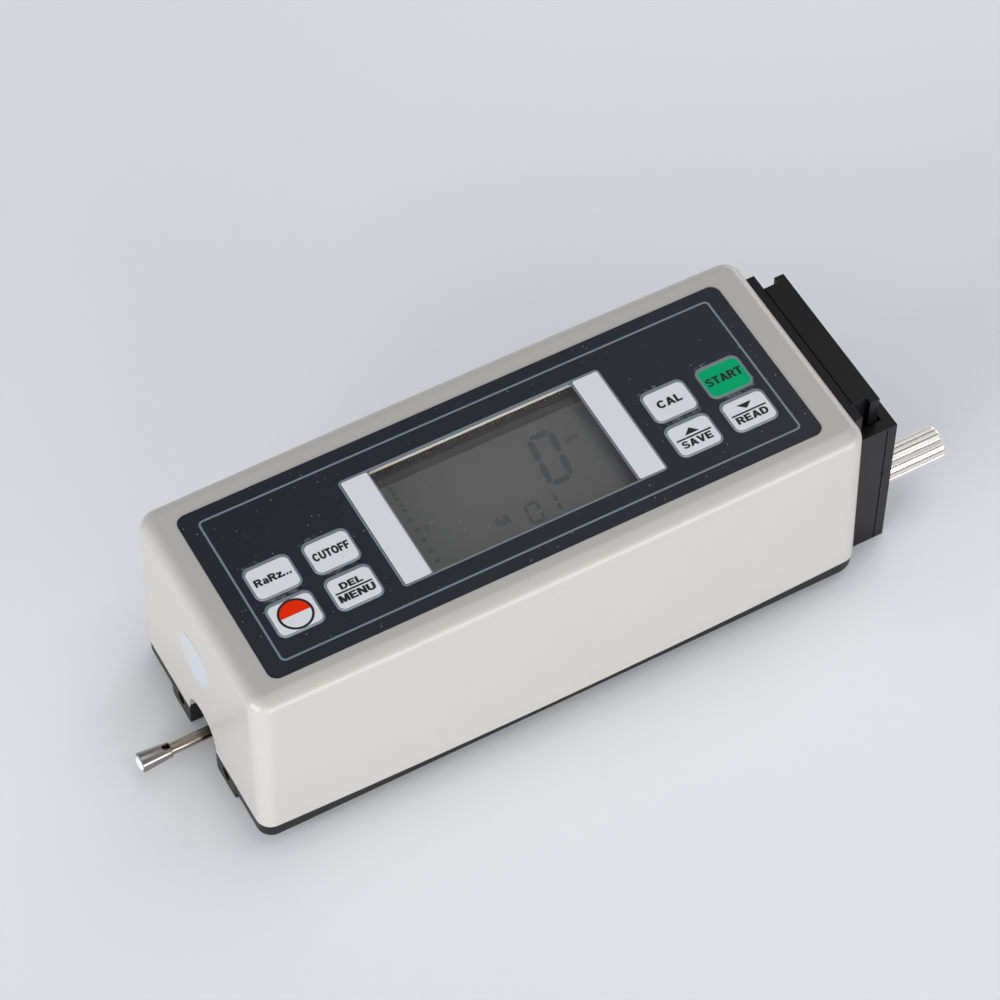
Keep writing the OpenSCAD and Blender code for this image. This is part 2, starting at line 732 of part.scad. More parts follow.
// Socket that the pickup plugs into, hung from the pivot pin
module sensor_socket() {
    place() color(black) difference() {
        union() {
            bar_x([socket_x0, socket_x1], 0, pickup_z, socket_d);
            box(about(pivot_x, tongue_l / 2 - slip), about(0, tongue_w / 2),
                [pickup_z, pivot_z + tongue_top]);
        }
        bar_x([socket_x0 - over, socket_x0 + socket_bore_l], 0, pickup_z, socket_bore_d);
        bar_y(pivot_x, [-tongue_w, tongue_w], pivot_z, pivot_d + 2 * fit);
    }
}
module pickup_connector() {
    place() color(nickel) {
        bar_x([socket_x0, socket_x0 + socket_bore_l - 0.5], 0, pickup_z, socket_bore_d - 2 * fit);
        bar_x([stem_x1, socket_x0], 0, pickup_z, collar_d);
    }
}
module pickup_stem() {
    place() color(steel) difference() {
        bar_x([stem_x0, stem_x1], 0, pickup_z, stem_d);
        bar_x([stem_x0 - over, stem_x1 - 2], 0, pickup_z, stem_bore_d);
        bar_y(stylus_pivot_x, [-stem_d, stem_d], pickup_z, stylus_pin_d);
        head_slot(head_x1);
    }
}

// Head: tapered tube with a seat for the stem, a slot in its rear end and a hole for the stylus
module head_slot(x1) {
    box([head_x1 - head_slot_l + head_slot_w / 2, x1], about(0, head_slot_w / 2),
        [pickup_z, pickup_z + head_d]);
    bar_z(head_x1 - head_slot_l + head_slot_w / 2, 0, [pickup_z, pickup_z + head_d], head_slot_w);
}
module pickup_head() {
    place() color(steel) difference() {
        translate([head_x0, 0, pickup_z]) rotate([0, 90, 0])
            cylinder(d1 = head_d, d2 = head_rear_d, h = head_l);
        bar_x([head_x0 - over, stem_x0], 0, pickup_z, head_bore_d);
        bar_x([stem_x0 - thin, head_x1 + over], 0, pickup_z, stem_d);
        head_slot(head_x1 + over);
        bar_z(stylus_x, 0, [pickup_z - head_d, pickup_z], stylus_hole_d);
    }
}
module pickup_plug() {
    rim = head_d / 2 - 0.25;
    dome = [for (a = [0 : 15 : 90]) [rim * cos(a), plug_t * sin(a)]];
    place() color("white") translate([head_x0, 0, pickup_z]) rotate([0, -90, 0]) rotate_extrude()
        polygon(concat([[0, -0.8], [head_bore_d / 2, -0.8], [head_bore_d / 2, 0]], dome));
}
module stylus_pivot() {
    place() color(steel) bar_y(stylus_pivot_x, about(0, stem_d / 2 - 2 * fit), pickup_z, stylus_pin_d);
}
module stylus_arm() {
    place() color(steel) difference() {
        union() {
            bar_x([stylus_x - stylus_d / 2, stylus_pivot_x - stylus_eye_d / 4], 0, pickup_z, stylus_d);
            bar_y(stylus_pivot_x, about(0, stylus_eye_w / 2), pickup_z, stylus_eye_d);
            translate([stylus_x, 0, pickup_z - stylus_drop])
                cylinder(d1 = stylus_tip_d, d2 = stylus_d - stylus_tip_d, h = stylus_drop);
        }
        bar_y(stylus_pivot_x, [-over, over], pickup_z, stylus_pin_d + 2 * fit);
    }
}

// Rail: foot against the case, web, and the flange that the bars grip
module rail_bracket() {
    place() color(black) difference() {
        union() {
            box([rail_x0, rail_x1], about(0, rail_foot_w / 2), [rail_z0, rail_z1]);
            box([rail_x0, rail_x3], about(0, rail_web_w / 2), [rail_z0, rail_z1]);
            box([rail_x2, rail_x3], about(0, rail_flange_w / 2), [rail_z0, rail_z1]);
        }
        rail_screw_set(rail_x3 - rail_x0 + over, fit);
    }
}
module rail_screw_set(l, grow) {
    for (y = [-1, 1], z = rail_screw_zs)
        translate([rail_x3, y * rail_screw_y, z]) rotate([0, -90, 0]) csk_screw(rail_screw_d, l, grow);
}
module rail_screws() {
    place() color(steel) rail_screw_set(rail_x3 - case_l / 2 + case_wall + rail_boss_l - rail_screw_end, 0);
}

// Sliding block: an open-topped T-slot that hooks behind the rail's flange
module slide_block() {
    place() color(black) difference() {
        box([slide_x0, slide_x1], about(0, slide_w / 2), [0, slide_h]);
        box([slide_x0 - over, rail_x2], about(0, rail_web_w / 2 + run), [slide_floor, slide_h + over]);
        box([rail_x2 - run, slide_x1 + over], about(0, rail_flange_w / 2 + run),
            [slide_floor, slide_h + over]);
        slide_screw_sets(slide_plate_t + slide_screw_l, fit);
        slide_pit();
    }
}
// Small dowel hole across the joint on the near face
module slide_pit() {
    bar_y(slide_x1, [-slide_w / 2 - over, -slide_w / 2 + 0.8], 0.6 * slide_h, 1.2);
}
module slide_screw_sets(l, grow) {
    for (s = [-1, 1], z = slide_screw_zs)
        translate([slide_x2, s * slide_screw_y, z]) rotate([0, -90, 0]) {
            cylinder(d = slide_screw_d + 2 * grow, h = l);
            cylinder(d = slide_screw_head + 2 * grow, h = 1);
        }
}
module slide_back_plate() {
    place() color(black) difference() {
        box([slide_x1, slide_x2], about(0, slide_w / 2), [0, slide_h]);
        slide_screw_sets(slide_plate_t + over, fit);
        bar_x([slide_x1 - over, slide_x2 + over], -knob_y, knob_z, knob_screw_d + 2 * fit);
        slide_pit();
    }
}
module slide_screws() {
    place() color(steel) slide_screw_sets(slide_plate_t + slide_screw_l - 0.5, 0);
}

// Clamp knob: screw that bears on the flange, collar and fluted grip
module clamp_knob() {
    grip_r = knob_d / 2;
    place() color(nickel) difference() {
        union() {
            bar_x([rail_x3 + 0.1, slide_x2 + knob_lift], -knob_y, knob_z, knob_screw_d);
            bar_x([slide_x2 + knob_lift, knob_x0], -knob_y, knob_z, knob_collar_d);
            translate([knob_x0, -knob_y, knob_z]) rotate([0, 90, 0]) rotate_extrude()
                polygon([[0, 0], [grip_r - knob_chamfer, 0], [grip_r, knob_chamfer],
                    [grip_r, knob_l - knob_chamfer], [grip_r - knob_chamfer, knob_l], [0, knob_l]]);
        }
        for (i = [0 : knob_flutes - 1])
            translate([0, -knob_y, knob_z]) rotate([i * 360 / knob_flutes, 0, 0])
                bar_x([knob_x0 - over / 2, knob_x0 + knob_l + over], 0, grip_r + 0.05, flute_d);
    }
}

case();
keypad_overlay();
display_window();
for (k = KEYS)
    key(k[1], k[0] == "key_start" ? [0.0, 0.62, 0.42] : "gainsboro");
lcd_panel();
lcd_pins();
lcd_holder();
main_board();
key_switches();
board_screws();
battery_pack();
charging_socket();
base_plate();
base_screws();
drive_frame();
frame_screws();
guide_rods();
lead_screw();
front_bearing();
rear_bearing();
shaft_coupling();
motor_shaft();
drive_motor();
motor_bracket();
bracket_screws();
drive_carriage();
pivot_pin();
sensor_socket();
pickup_connector();
pickup_stem();
pickup_head();
pickup_plug();
stylus_pivot();
stylus_arm();
rail_bracket();
rail_screws();
slide_block();
slide_back_plate();
slide_screws();
clamp_knob();
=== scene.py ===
"""Looks of a hand-held surface roughness tester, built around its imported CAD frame."""

import json
import math

import bmesh
import bpy
from bpy.props import FloatProperty, FloatVectorProperty, IntProperty, PointerProperty
from mathutils import Matrix, Vector

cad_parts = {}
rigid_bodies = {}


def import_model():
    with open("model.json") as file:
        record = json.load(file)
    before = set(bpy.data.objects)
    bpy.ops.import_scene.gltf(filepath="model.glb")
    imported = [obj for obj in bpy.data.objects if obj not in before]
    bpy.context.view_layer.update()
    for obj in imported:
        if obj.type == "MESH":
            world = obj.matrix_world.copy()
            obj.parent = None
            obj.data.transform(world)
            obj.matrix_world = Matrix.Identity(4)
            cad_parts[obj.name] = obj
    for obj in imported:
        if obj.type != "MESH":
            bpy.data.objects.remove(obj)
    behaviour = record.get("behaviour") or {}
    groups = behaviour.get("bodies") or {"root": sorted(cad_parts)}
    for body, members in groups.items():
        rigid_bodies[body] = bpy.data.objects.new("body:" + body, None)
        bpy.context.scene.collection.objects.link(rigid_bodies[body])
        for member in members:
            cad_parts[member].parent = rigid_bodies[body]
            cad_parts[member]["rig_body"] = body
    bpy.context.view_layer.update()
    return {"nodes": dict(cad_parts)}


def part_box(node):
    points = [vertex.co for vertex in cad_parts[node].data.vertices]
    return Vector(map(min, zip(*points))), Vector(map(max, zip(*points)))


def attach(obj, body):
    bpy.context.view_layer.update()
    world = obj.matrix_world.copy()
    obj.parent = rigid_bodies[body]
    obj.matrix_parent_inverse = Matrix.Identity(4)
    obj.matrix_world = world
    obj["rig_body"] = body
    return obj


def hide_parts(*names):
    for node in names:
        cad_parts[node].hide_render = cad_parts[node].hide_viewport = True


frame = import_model()

bl_info = {
    "name": "Surface roughness tester",
    "version": (1, 0, 0),
    "blender": (4, 5, 0),
    "location": "View3D > Sidebar > Tester",
    "description": "Builds the looks of a surface roughness tester around its CAD frame",
    "category": "Object",
}

# Lengths in the functions below are in millimetres, with X = 0 in the middle of the case.
MM = 0.001
CASE_L = 140.0
MID_X = -CASE_L / 2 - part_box("case")[0].x / MM


def reach(name):
    """A CAD node's box: its two ends in X, in Y and in Z."""
    lo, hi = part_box(name)
    return (lo.x / MM + MID_X, hi.x / MM + MID_X), (lo.y / MM, hi.y / MM), (lo.z / MM, hi.z / MM)


def middle(name):
    """Middle of a CAD node's box, to the nearest micrometre."""
    return tuple(round(sum(ends) / 2, 3) for ends in reach(name))


def extent(name):
    """Length, width and height of a CAD node's box, to the nearest micrometre."""
    return tuple(round(high - low, 3) for low, high in reach(name))


FILM_L, FILM_W, FILM_T = extent("keypad_overlay")
FILM_Y = middle("keypad_overlay")[1]
FILM_PROUD = 0.1
WINDOW_Y = middle("display_window")[1]
TOP_WALL = 2.0
Z_SEAM = reach("base_plate")[2][1]
Z_FILM = reach("keypad_overlay")[2][1]
Z_TOP = Z_FILM - FILM_PROUD
Z_CEILING = Z_TOP - TOP_WALL
Z_LCD = reach("lcd_panel")[2][1]
LEFT_KEYS = ("key_parameter", "key_cutoff", "key_power", "key_menu")
RIGHT_KEYS = ("key_calibrate", "key_start", "key_up", "key_down")
KEYS = {name: middle(name)[:2] for name in LEFT_KEYS + RIGHT_KEYS}
# the scene's rear end lies this much further out than the solid's
REAR_MORE = 1.0


def length(name, about, value):
    """A length property, in metres."""
    return FloatProperty(name=name, description=about, default=value, unit="LENGTH")


def count(name, about, value, least):
    """A property that counts like details."""
    return IntProperty(name=name, description=about, default=value, min=least)


class TesterSizes(bpy.types.PropertyGroup):
    """Sizes of the details that the scene adds to the CAD solids"""

    edge_round: length("Case edge", "Radius of the case's top edge", 0.0031)
    near_round: length("Near edge", "Radius of the top edge on the near side", 0.0037)
    foot_round: length("Case foot", "Radius of the case's bottom edge", 0.00035)
    border_line: length("Border line", "Width of the line printed round the film", 0.00045)
    key_line: length("Key line", "Width of the outline printed round a key", 0.00017)
    print_rise: length("Print rise", "Thickness of printed lines and letters", 0.00002)
    metal_edge: length("Metal edge", "Width of the broken edges of the black metal pieces", 0.0002)
    label_across: length("Label", "Diameter of the blank round label on the front end", 0.012)
    pin_count: count("Display pins", "Number of contact pins on the display glass", 58, 2)
    knob_lands: count("Knob lands", "Number of ridges round the clamp knob", 18, 6)
    dust_count: FloatProperty(
        name="Dust", description="Specks of dust on each square metre of the film", default=150000.0, min=0.0
    )


def colour(name, about, value):
    """A colour property with an alpha of one."""
    return FloatVectorProperty(
        name=name, description=about, default=(*value, 1.0), size=4, subtype="COLOR", min=0.0, max=1.0
    )


class TesterColours(bpy.types.PropertyGroup):
    """Colours of the tester's finishes"""

    case: colour("Case", "Moulded case", (0.503, 0.489, 0.454))
    film: colour("Film", "Printed key film", (0.0055, 0.009, 0.0175))
    line: colour("Line", "Silver lines on the film", (0.19, 0.225, 0.265))
    white: colour("White", "White keys and bars", (0.80, 0.815, 0.845))
    green: colour("Green", "Start key", (0.0, 0.42, 0.17))
    red: colour("Red", "Red half of the power sign", (0.88, 0.028, 0.001))
    ink: colour("Ink", "Black letters", (0.012, 0.012, 0.014))
    lcd_field: colour("Display", "Polarising sheet on the display", (0.101, 0.099, 0.093))
    lcd_edge: colour("Display edge", "Bare glass beside the sheet", (0.054, 0.051, 0.052))
    lcd_mark: colour("Display mark", "Segments that are switched on", (0.055, 0.054, 0.058))
    anodised: colour("Anodised", "Black rail and sliding support", (0.0068, 0.0062, 0.0070))
    plate: colour("Base plate", "Black base plate", (0.0075, 0.0070, 0.0075))
    steel: colour("Steel", "Ground steel of the pickup", (0.33, 0.308, 0.29))
    nickel: colour("Nickel", "Plating of the clamp knob", (0.88, 0.84, 0.79))
    floor: colour("Floor", "Pale floor of the stage", (0.915, 0.925, 0.962))


def sizes():
    return bpy.context.scene.tester_sizes


def colours():
    return bpy.context.scene.tester_colours


# Outlines


def at(x, y, z):
    """A point given in millimetres from the middle of the case, in the row's frame."""
    return Vector(((x - MID_X) * MM, y * MM, z * MM))


def quarter_turns():
    """Signs of a rectangle's corners, anticlockwise from the far right one."""
    return enumerate(((1, 1), (-1, 1), (-1, -1), (1, -1)))


def rounded(cx, cy, long, wide, radius, steps=6):
    """Points round a rounded rectangle, anticlockwise."""
    points = []
    for k, (sx, sy) in quarter_turns():
        x, y = cx + sx * (long / 2 - radius), cy + sy * (wide / 2 - radius)
        for i in range(steps + 1):
            a = math.radians(90 * (k + i / steps))
            points.append((x + radius * math.cos(a), y + radius * math.sin(a)))
    return points


def circle(cx, cy, radius, steps=48):
    angles = [2 * math.pi * i / steps for i in range(steps)]
    return [(cx + radius * math.cos(a), cy + radius * math.sin(a)) for a in angles]


def bar(x0, y0, x1, y1):
    return [(x0, y0), (x1, y0), (x1, y1), (x0, y1)]


def bow(cx, cy, rx, ry, start, stop, thick, steps=14):
    """Thick arc of an ellipse, as a closed outline."""
    angles = [math.radians(start + (stop - start) * i / steps) for i in range(steps + 1)]
    outer = [(cx + rx * math.cos(a), cy + ry * math.sin(a)) for a in angles]
    inner = [(cx + (rx - thick) * math.cos(a), cy + (ry - thick * 0.9) * math.sin(a)) for a in angles]
    return outer + inner[::-1]


def cross(arm, half):
    """Outline of a cross, anticlockwise."""
    points = []
    for c, s in ((1, 0), (0, 1), (-1, 0), (0, -1)):
        points += [(c * px - s * py, s * px + c * py) for px, py in ((arm, -half), (arm, half), (half, half))]
    return points


def swollen(points, by):
    """An anticlockwise outline with its sides moved outward."""
    out = []
    for before, here, after in zip(points[-1:] + points, points, points[1:] + points[:1]):
        a = (Vector(here) - Vector(before)).normalized()
        b = (Vector(after) - Vector(here)).normalized()
        a, b = Vector((a.y, -a.x)), Vector((b.y, -b.x))
        out.append(tuple(Vector(here) + (a + b) * (by / max(1 + a.dot(b), 0.4))))
    return out


# Meshes


def ring(bm, points, z):
    """Corners in a level plane, from (x, y) points."""
    return [bm.verts.new(at(x, y, z)) for x, y in points]


def ring_x(bm, points, x):
    """Corners in a plane across X, from (y, z) points."""
    return [bm.verts.new(at(x, y, z)) for y, z in points]


def ring_y(bm, points, y):
    """Corners in a plane across Y, from (x, z) points."""
    return [bm.verts.new(at(x, y, z)) for x, z in points]


def bridge(bm, low, high, mat=0):
    """Faces between two closed rings of the same length."""
    n = len(low)
    for i in range(n):
        bm.faces.new((low[i], low[(i + 1) % n], high[(i + 1) % n], high[i])).material_index = mat


def close(bm, verts, mat=0, up=True):
    bm.faces.new(verts if up else verts[::-1]).material_index = mat


def loft(bm, rings, mat=0, top_mat=None):
    """Closed solid through rings of corners, which run anticlockwise seen from its last end."""
    close(bm, rings[0], mat, up=False)
    for low, high in zip(rings, rings[1:]):
        bridge(bm, low, high, mat)
    close(bm, rings[-1], mat if top_mat is None else top_mat)


def stack(bm, layers, mat=0, top_mat=None):
    """Closed solid through (points, z) layers, from the bottom up."""
    loft(bm, [ring(bm, points, z) for points, z in layers], mat, top_mat)


def slab(bm, points, z0, z1, mat=0):
    stack(bm, [(points, z0), (points, z1)], mat)


def box(bm, x, y, z, mat=0):
    slab(bm, bar(x[0], y[0], x[1], y[1]), z[0], z[1], mat)


def band(bm, outer, inner, z0, z1, mat=0):
    """Flat band between two outlines with the same number of points."""
    sides = [ring(bm, points, z) for points, z in ((outer, z0), (outer, z1), (inner, z1), (inner, z0))]
    for low, high in zip(sides, sides[1:] + sides[:1]):
        bridge(bm, low, high, mat)


def turned(bm, profile, y, z, steps=48, mat=0, loop=False):
    """Solid of revolution about an axis along X, from (x, radius) points that run in +X on the outside."""
    rings = []
    for x, r in profile:
        rings.append(ring_x(bm, circle(y, z, r, steps) if r else [(y, z)], x))
    pairs = list(zip(rings, rings[1:])) + ([(rings[-1], rings[0])] if loop else [])
    for a, b in pairs:
        for i in range(steps):
            j = (i + 1) % steps
            corners = [a[i % len(a)], a[j % len(a)], b[j % len(b)], b[i % len(b)]]
            unique = [c for k, c in enumerate(corners) if c not in corners[:k]]
            bm.faces.new(unique).material_index = mat


# Bold letters by their strokes: width, then anticlockwise outlines in a cap height of one.
STEM = bar(0, 0, 0.21, 1)
TOP_ARM = 0.82
LETTERS = {
    "A": (
        0.80,
        [[(0, 0), (0.22, 0), (0.49, 1), (0.29, 1)], [(0.58, 0), (0.80, 0), (0.51, 1), (0.31, 1)]]
        + [bar(0.2, 0.2, 0.6, 0.37)],
    ),
    "C": (0.78, [bow(0.41, 0.5, 0.41, 0.51, 40, 320, 0.21)]),
    "D": (
        0.75,
        [STEM, bar(0.21, TOP_ARM, 0.37, 1), bar(0.21, 0, 0.37, 0.18)]
        + [bow(0.36, 0.5, 0.39, 0.5, -90, 90, 0.21)],
    ),
    "E": (0.66, [STEM, bar(0.21, TOP_ARM, 0.64, 1), bar(0.21, 0.42, 0.60, 0.59), bar(0.21, 0, 0.66, 0.18)]),
    "F": (0.62, [STEM, bar(0.21, TOP_ARM, 0.62, 1), bar(0.21, 0.40, 0.56, 0.58)]),
    "L": (0.60, [STEM, bar(0.21, 0, 0.60, 0.18)]),
    "M": (
        0.90,
        [bar(0, 0, 0.2, 1), bar(0.7, 0, 0.9, 1)]
        + [[(0.35, 0), (0.55, 0), (0.26, 1), (0.02, 1)], [(0.35, 0), (0.55, 0), (0.88, 1), (0.64, 1)]],
    ),
    "N": (0.75, [bar(0, 0, 0.2, 1), bar(0.55, 0, 0.75, 1), [(0.52, 0), (0.75, 0), (0.23, 1), (0, 1)]]),
    "O": (0.84, [bow(0.42, 0.5, 0.42, 0.51, 0, 180, 0.21), bow(0.42, 0.5, 0.42, 0.51, 180, 360, 0.21)]),
    "R": (
        0.76,
        [STEM, bar(0.21, TOP_ARM, 0.43, 1), bar(0.21, 0.40, 0.43, 0.57)]
        + [bow(0.42, 0.70, 0.31, 0.30, -90, 90, 0.2), [(0.52, 0), (0.76, 0), (0.56, 0.44), (0.33, 0.44)]],
    ),
    "S": (
        0.70,
        [bow(0.35, 0.725, 0.33, 0.285, 15, 272, 0.18), bow(0.35, 0.275, 0.35, 0.285, -165, 92, 0.18)],
    ),
    "T": (0.68, [bar(0, TOP_ARM, 0.68, 1), bar(0.235, 0, 0.445, TOP_ARM)]),
    "U": (
        0.75,
        [bar(0, 0.34, 0.21, 1), bar(0.54, 0.34, 0.75, 1), bow(0.375, 0.35, 0.375, 0.36, 180, 360, 0.21)],
    ),
    "V": (0.78, [[(0.29, 0), (0.49, 0), (0.22, 1), (0, 1)], [(0.29, 0), (0.49, 0), (0.78, 1), (0.56, 1)]]),
    "a": (
        0.58,
        [bow(0.28, 0.22, 0.28, 0.23, 40, 340, 0.18), bar(0.37, 0.0, 0.55, 0.5)]
        + [bow(0.28, 0.49, 0.27, 0.25, 0, 155, 0.17)],
    ),
    "z": (
        0.52,
        [bar(0, 0, 0.52, 0.17), bar(0, 0.56, 0.52, 0.73)]
        + [[(0, 0.17), (0.24, 0.17), (0.52, 0.56), (0.28, 0.56)]],
    ),
    "m": (
        0.86,
        [bar(0, 0, 0.17, 0.72), bar(0.345, 0, 0.515, 0.5), bar(0.69, 0, 0.86, 0.5)]
        + [bow(0.26, 0.48, 0.255, 0.25, 0, 180, 0.17), bow(0.60, 0.48, 0.26, 0.25, 0, 180, 0.17)],
    ),
    "u": (
        0.60,
        [bar(0, -0.28, 0.17, 0.72), bar(0.43, 0, 0.60, 0.72), bow(0.3, 0.25, 0.3, 0.26, 180, 360, 0.17)],
    ),
}
LETTER_GAP = 0.11


def lettering(bm, text, centre, wide, tall, z, mat, weight=0.0):
    """Closed, thin letters; the cap height is the height and the word fits the width."""
    pen, shapes = 0.0, []
    for letter in text:
        letter_w, outlines = LETTERS[letter]
        shapes += [[(pen + px, py) for px, py in outline] for outline in outlines]
        pen += letter_w + LETTER_GAP
    scale = wide / (pen - LETTER_GAP)
    for k, outline in enumerate(shapes):
        points = [(centre[0] - wide / 2 + scale * px, centre[1] + tall * (py - 0.5)) for px, py in outline]
        # strokes that cross differ a little in height, so that no two faces share a plane
        slab(bm, swollen(points, weight), z, z + sizes().print_rise / MM + 0.0004 * (k % 5), mat)


def blank(name, bm):
    """Plain object from a bmesh."""
    mesh = bpy.data.meshes.new(name)
    bm.to_mesh(mesh)
    bm.free()
    obj = bpy.data.objects.new(name, mesh)
    bpy.context.scene.collection.objects.link(obj)
    return obj


def dress(obj, body, finishes, replaces=(), sharp=32.0, even=True):
    """Shade an object, give it its finishes and put it on its body."""
    mesh = obj.data
    if mesh.materials:
        mesh.materials.clear()
    for name in finishes:
        mesh.materials.append(finish(name))
    mesh.polygons.foreach_set("use_smooth", [True] * len(mesh.polygons))
    mesh.set_sharp_from_angle(angle=math.radians(sharp))
    mesh.update()
    if even:
        mod = obj.modifiers.new("Even shading", "WEIGHTED_NORMAL")
        mod.keep_sharp = True
    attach(obj, body)
    if replaces:
        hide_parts(*replaces)
    return obj


def piece(bm, name, body, finishes, replaces=(), even=True):
    """Turn a bmesh into a shaded piece that rides on a body."""
    return dress(blank(name, bm), body, finishes, replaces, even=even)


def softened(name, width, look):
    """Copy of a CAD node with its edges broken, which stands for the node."""
    source = frame["nodes"][name]
    bm = bmesh.new()
    bm.from_mesh(source.data)
    bmesh.ops.remove_doubles(bm, verts=bm.verts, dist=2e-6)
    bmesh.ops.dissolve_limit(bm, angle_limit=math.radians(0.4), verts=bm.verts, edges=bm.edges)
    obj = blank(name + "_finished", bm)
    mod = obj.modifiers.new("Broken edges", "BEVEL")
    mod.width = width
    mod.segments = 2
    mod.limit_method = "ANGLE"
    mod.angle_limit = math.radians(40.0)
    mod.use_clamp_overlap = True
    return dress(obj, source["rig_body"], [look], (name,))


def paint(name, look):
    """Give a CAD node that stays as it is its finish."""
    for slot in frame["nodes"][name].material_slots:
        slot.material = finish(look)


def frozen(obj):
    """Turn an object's modifiers into plain mesh."""
    bpy.context.view_layer.update()
    graph = bpy.context.evaluated_depsgraph_get()
    mesh = bpy.data.meshes.new_from_object(obj.evaluated_get(graph))
    obj.modifiers.clear()
    old = obj.data
    obj.data = mesh
    mesh.name = obj.name
    bpy.data.meshes.remove(old)
    if not mesh.polygons:
        raise RuntimeError(f"{obj.name} came out without faces")
    return obj


def carved(obj, *cutters):
    """Cut each bmesh out of an object, in turn."""
    tools = [blank(f"cutter_{k}", bm) for k, bm in enumerate(cutters)]
    for tool in tools:
        mod = obj.modifiers.new(tool.name, "BOOLEAN")
        mod.operation = "DIFFERENCE"
        mod.solver = "EXACT"
        mod.object = tool
    frozen(obj)
    for tool in tools:
        mesh = tool.data
        bpy.data.objects.remove(tool)
        bpy.data.meshes.remove(mesh)
    return obj


def screw_set(name, layers, recess, head, turn=(0.0, 0.0, 0.0)):
    """Screws in the corners of a CAD node's box, which stand for the node; layers and recess run along +Z."""
    bm = bmesh.new()
    stack(bm, [(circle(MID_X, 0, r, 32), z) for r, z in layers])
    cutter = bmesh.new()
    stack(cutter, [([(MID_X + px, py) for px, py in points], z) for points, z in recess])
    fastener = carved(blank("fastener", bm), cutter)
    lo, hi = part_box(name)
    ends = [sorted({round(a + head * MM, 6), round(b - head * MM, 6)}) for a, b in zip(lo, hi)]
    if turn[1]:
        ends[0] = [hi.x]
    else:
        ends[2] = [lo.z]
    spots = bmesh.new()
    for x in ends[0]:
        for y in ends[1]:
            for z in ends[2]:
                spots.verts.new((x, y, z))
    obj = blank(name + "_set", spots)
    grown(obj, places_tree(), {"Fastener": fastener, "Turn": turn, "Material": finish("steel")})
    bpy.data.objects.remove(fastener)
    return dress(obj, frame["nodes"][name]["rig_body"], ["steel"], (name,))


# Nodes


def fill(tree, n, sockets):
    """Set a node's inputs; a value that is another node's output is linked."""
    for key, value in sockets.items():
        if isinstance(value, bpy.types.NodeSocket):
            tree.links.new(value, n.inputs[key])
        else:
            n.inputs[key].default_value = value


def node(tree, kind, sockets=None, **settings):
    """Add a node with its settings and inputs."""
    n = tree.nodes.new(kind)
    for key, value in settings.items():
        setattr(n, key, value)
    fill(tree, n, sockets or {})
    return n


def maths(tree, operation, *values):
    """Output of a Math node."""
    return node(tree, "ShaderNodeMath", dict(enumerate(values)), operation=operation).outputs[0]


def copies_on(tree, points, instance, **sockets):
    """Output of Instance on Points."""
    inputs = {"Points": points, "Instance": instance, **sockets}
    return node(tree, "GeometryNodeInstanceOnPoints", inputs).outputs[0]


def tree_of(name, **inputs):
    """A Geometry Nodes tree with a Geometry input, inputs of the given kinds and a Material input."""
    tree = bpy.data.node_groups.new(name, "GeometryNodeTree")
    for label, kind in (("Geometry", "Geometry"), *inputs.items(), ("Material", "Material")):
        tree.interface.new_socket(label, in_out="INPUT", socket_type="NodeSocket" + kind)
    tree.interface.new_socket("Geometry", in_out="OUTPUT", socket_type="NodeSocketGeometry")
    given, out = tree.nodes.new("NodeGroupInput"), tree.nodes.new("NodeGroupOutput")
    return tree, given.outputs, out.inputs


def end_tree(tree, given, out, geometry):
    """Close a tree with Realize Instances and Set Material."""
    real = node(tree, "GeometryNodeRealizeInstances", {"Geometry": geometry}).outputs[0]
    painted = node(tree, "GeometryNodeSetMaterial", {"Geometry": real, "Material": given["Material"]})
    tree.links.new(painted.outputs[0], out[0])
    return tree


def row_tree():
    """Copies of the piece's own mesh in a row."""
    tree, given, out = tree_of("Row of copies", Count="Int", Pitch="Vector")
    line = node(tree, "GeometryNodeMeshLine", {"Count": given["Count"], "Offset": given["Pitch"]})
    return end_tree(tree, given, out, copies_on(tree, line.outputs[0], given["Geometry"]))


def wheel_tree():
    """Copies of the piece's own mesh round an axis along X."""
    tree, given, out = tree_of("Wheel of copies", Count="Int", Centre="Vector")
    dots = node(tree, "GeometryNodeMeshLine", {"Count": given["Count"], "Offset": (0.0, 0.0, 0.0)})
    share = maths(tree, "DIVIDE", 2 * math.pi, given["Count"])
    turn = maths(tree, "MULTIPLY", node(tree, "GeometryNodeInputIndex").outputs[0], share)
    spin = node(tree, "ShaderNodeCombineXYZ", {"X": turn}).outputs[0]
    wheel = copies_on(tree, dots.outputs[0], given["Geometry"], Rotation=spin)
    moved = node(tree, "GeometryNodeTransform", {"Geometry": wheel, "Translation": given["Centre"]})
    return end_tree(tree, given, out, moved.outputs[0])


def places_tree():
    """A fastener on each point of the piece's own mesh."""
    tree, given, out = tree_of("Fastener on each point", Fastener="Object", Turn="Vector")
    shape = node(tree, "GeometryNodeObjectInfo", {"Object": given["Fastener"]}).outputs["Geometry"]
    return end_tree(tree, given, out, copies_on(tree, given["Geometry"], shape, Rotation=given["Turn"]))


def dust_tree():
    """Flat specks of uneven size, scattered over the piece's own faces."""
    tree, given, out = tree_of("Dust specks", Density="Float", Seed="Int")
    where = {"Mesh": given["Geometry"], "Density": given["Density"], "Seed": given["Seed"]}
    spots = node(tree, "GeometryNodeDistributePointsOnFaces", where).outputs["Points"]
    cone = {"Vertices": 6, "Radius Top": 0.00002, "Radius Bottom": 0.00006, "Depth": 0.00001}
    speck = node(tree, "GeometryNodeMeshCone", cone).outputs["Mesh"]
    chance = node(tree, "FunctionNodeRandomValue", {2: 0.0, 3: 1.0, "Seed": 3}, data_type="FLOAT").outputs[1]
    across = maths(tree, "MULTIPLY_ADD", maths(tree, "POWER", chance, 4.0), 2.2, 0.4)
    scale = node(tree, "ShaderNodeCombineXYZ", {"X": across, "Y": across, "Z": 1.0}).outputs[0]
    return end_tree(tree, given, out, copies_on(tree, spots, speck, Scale=scale))


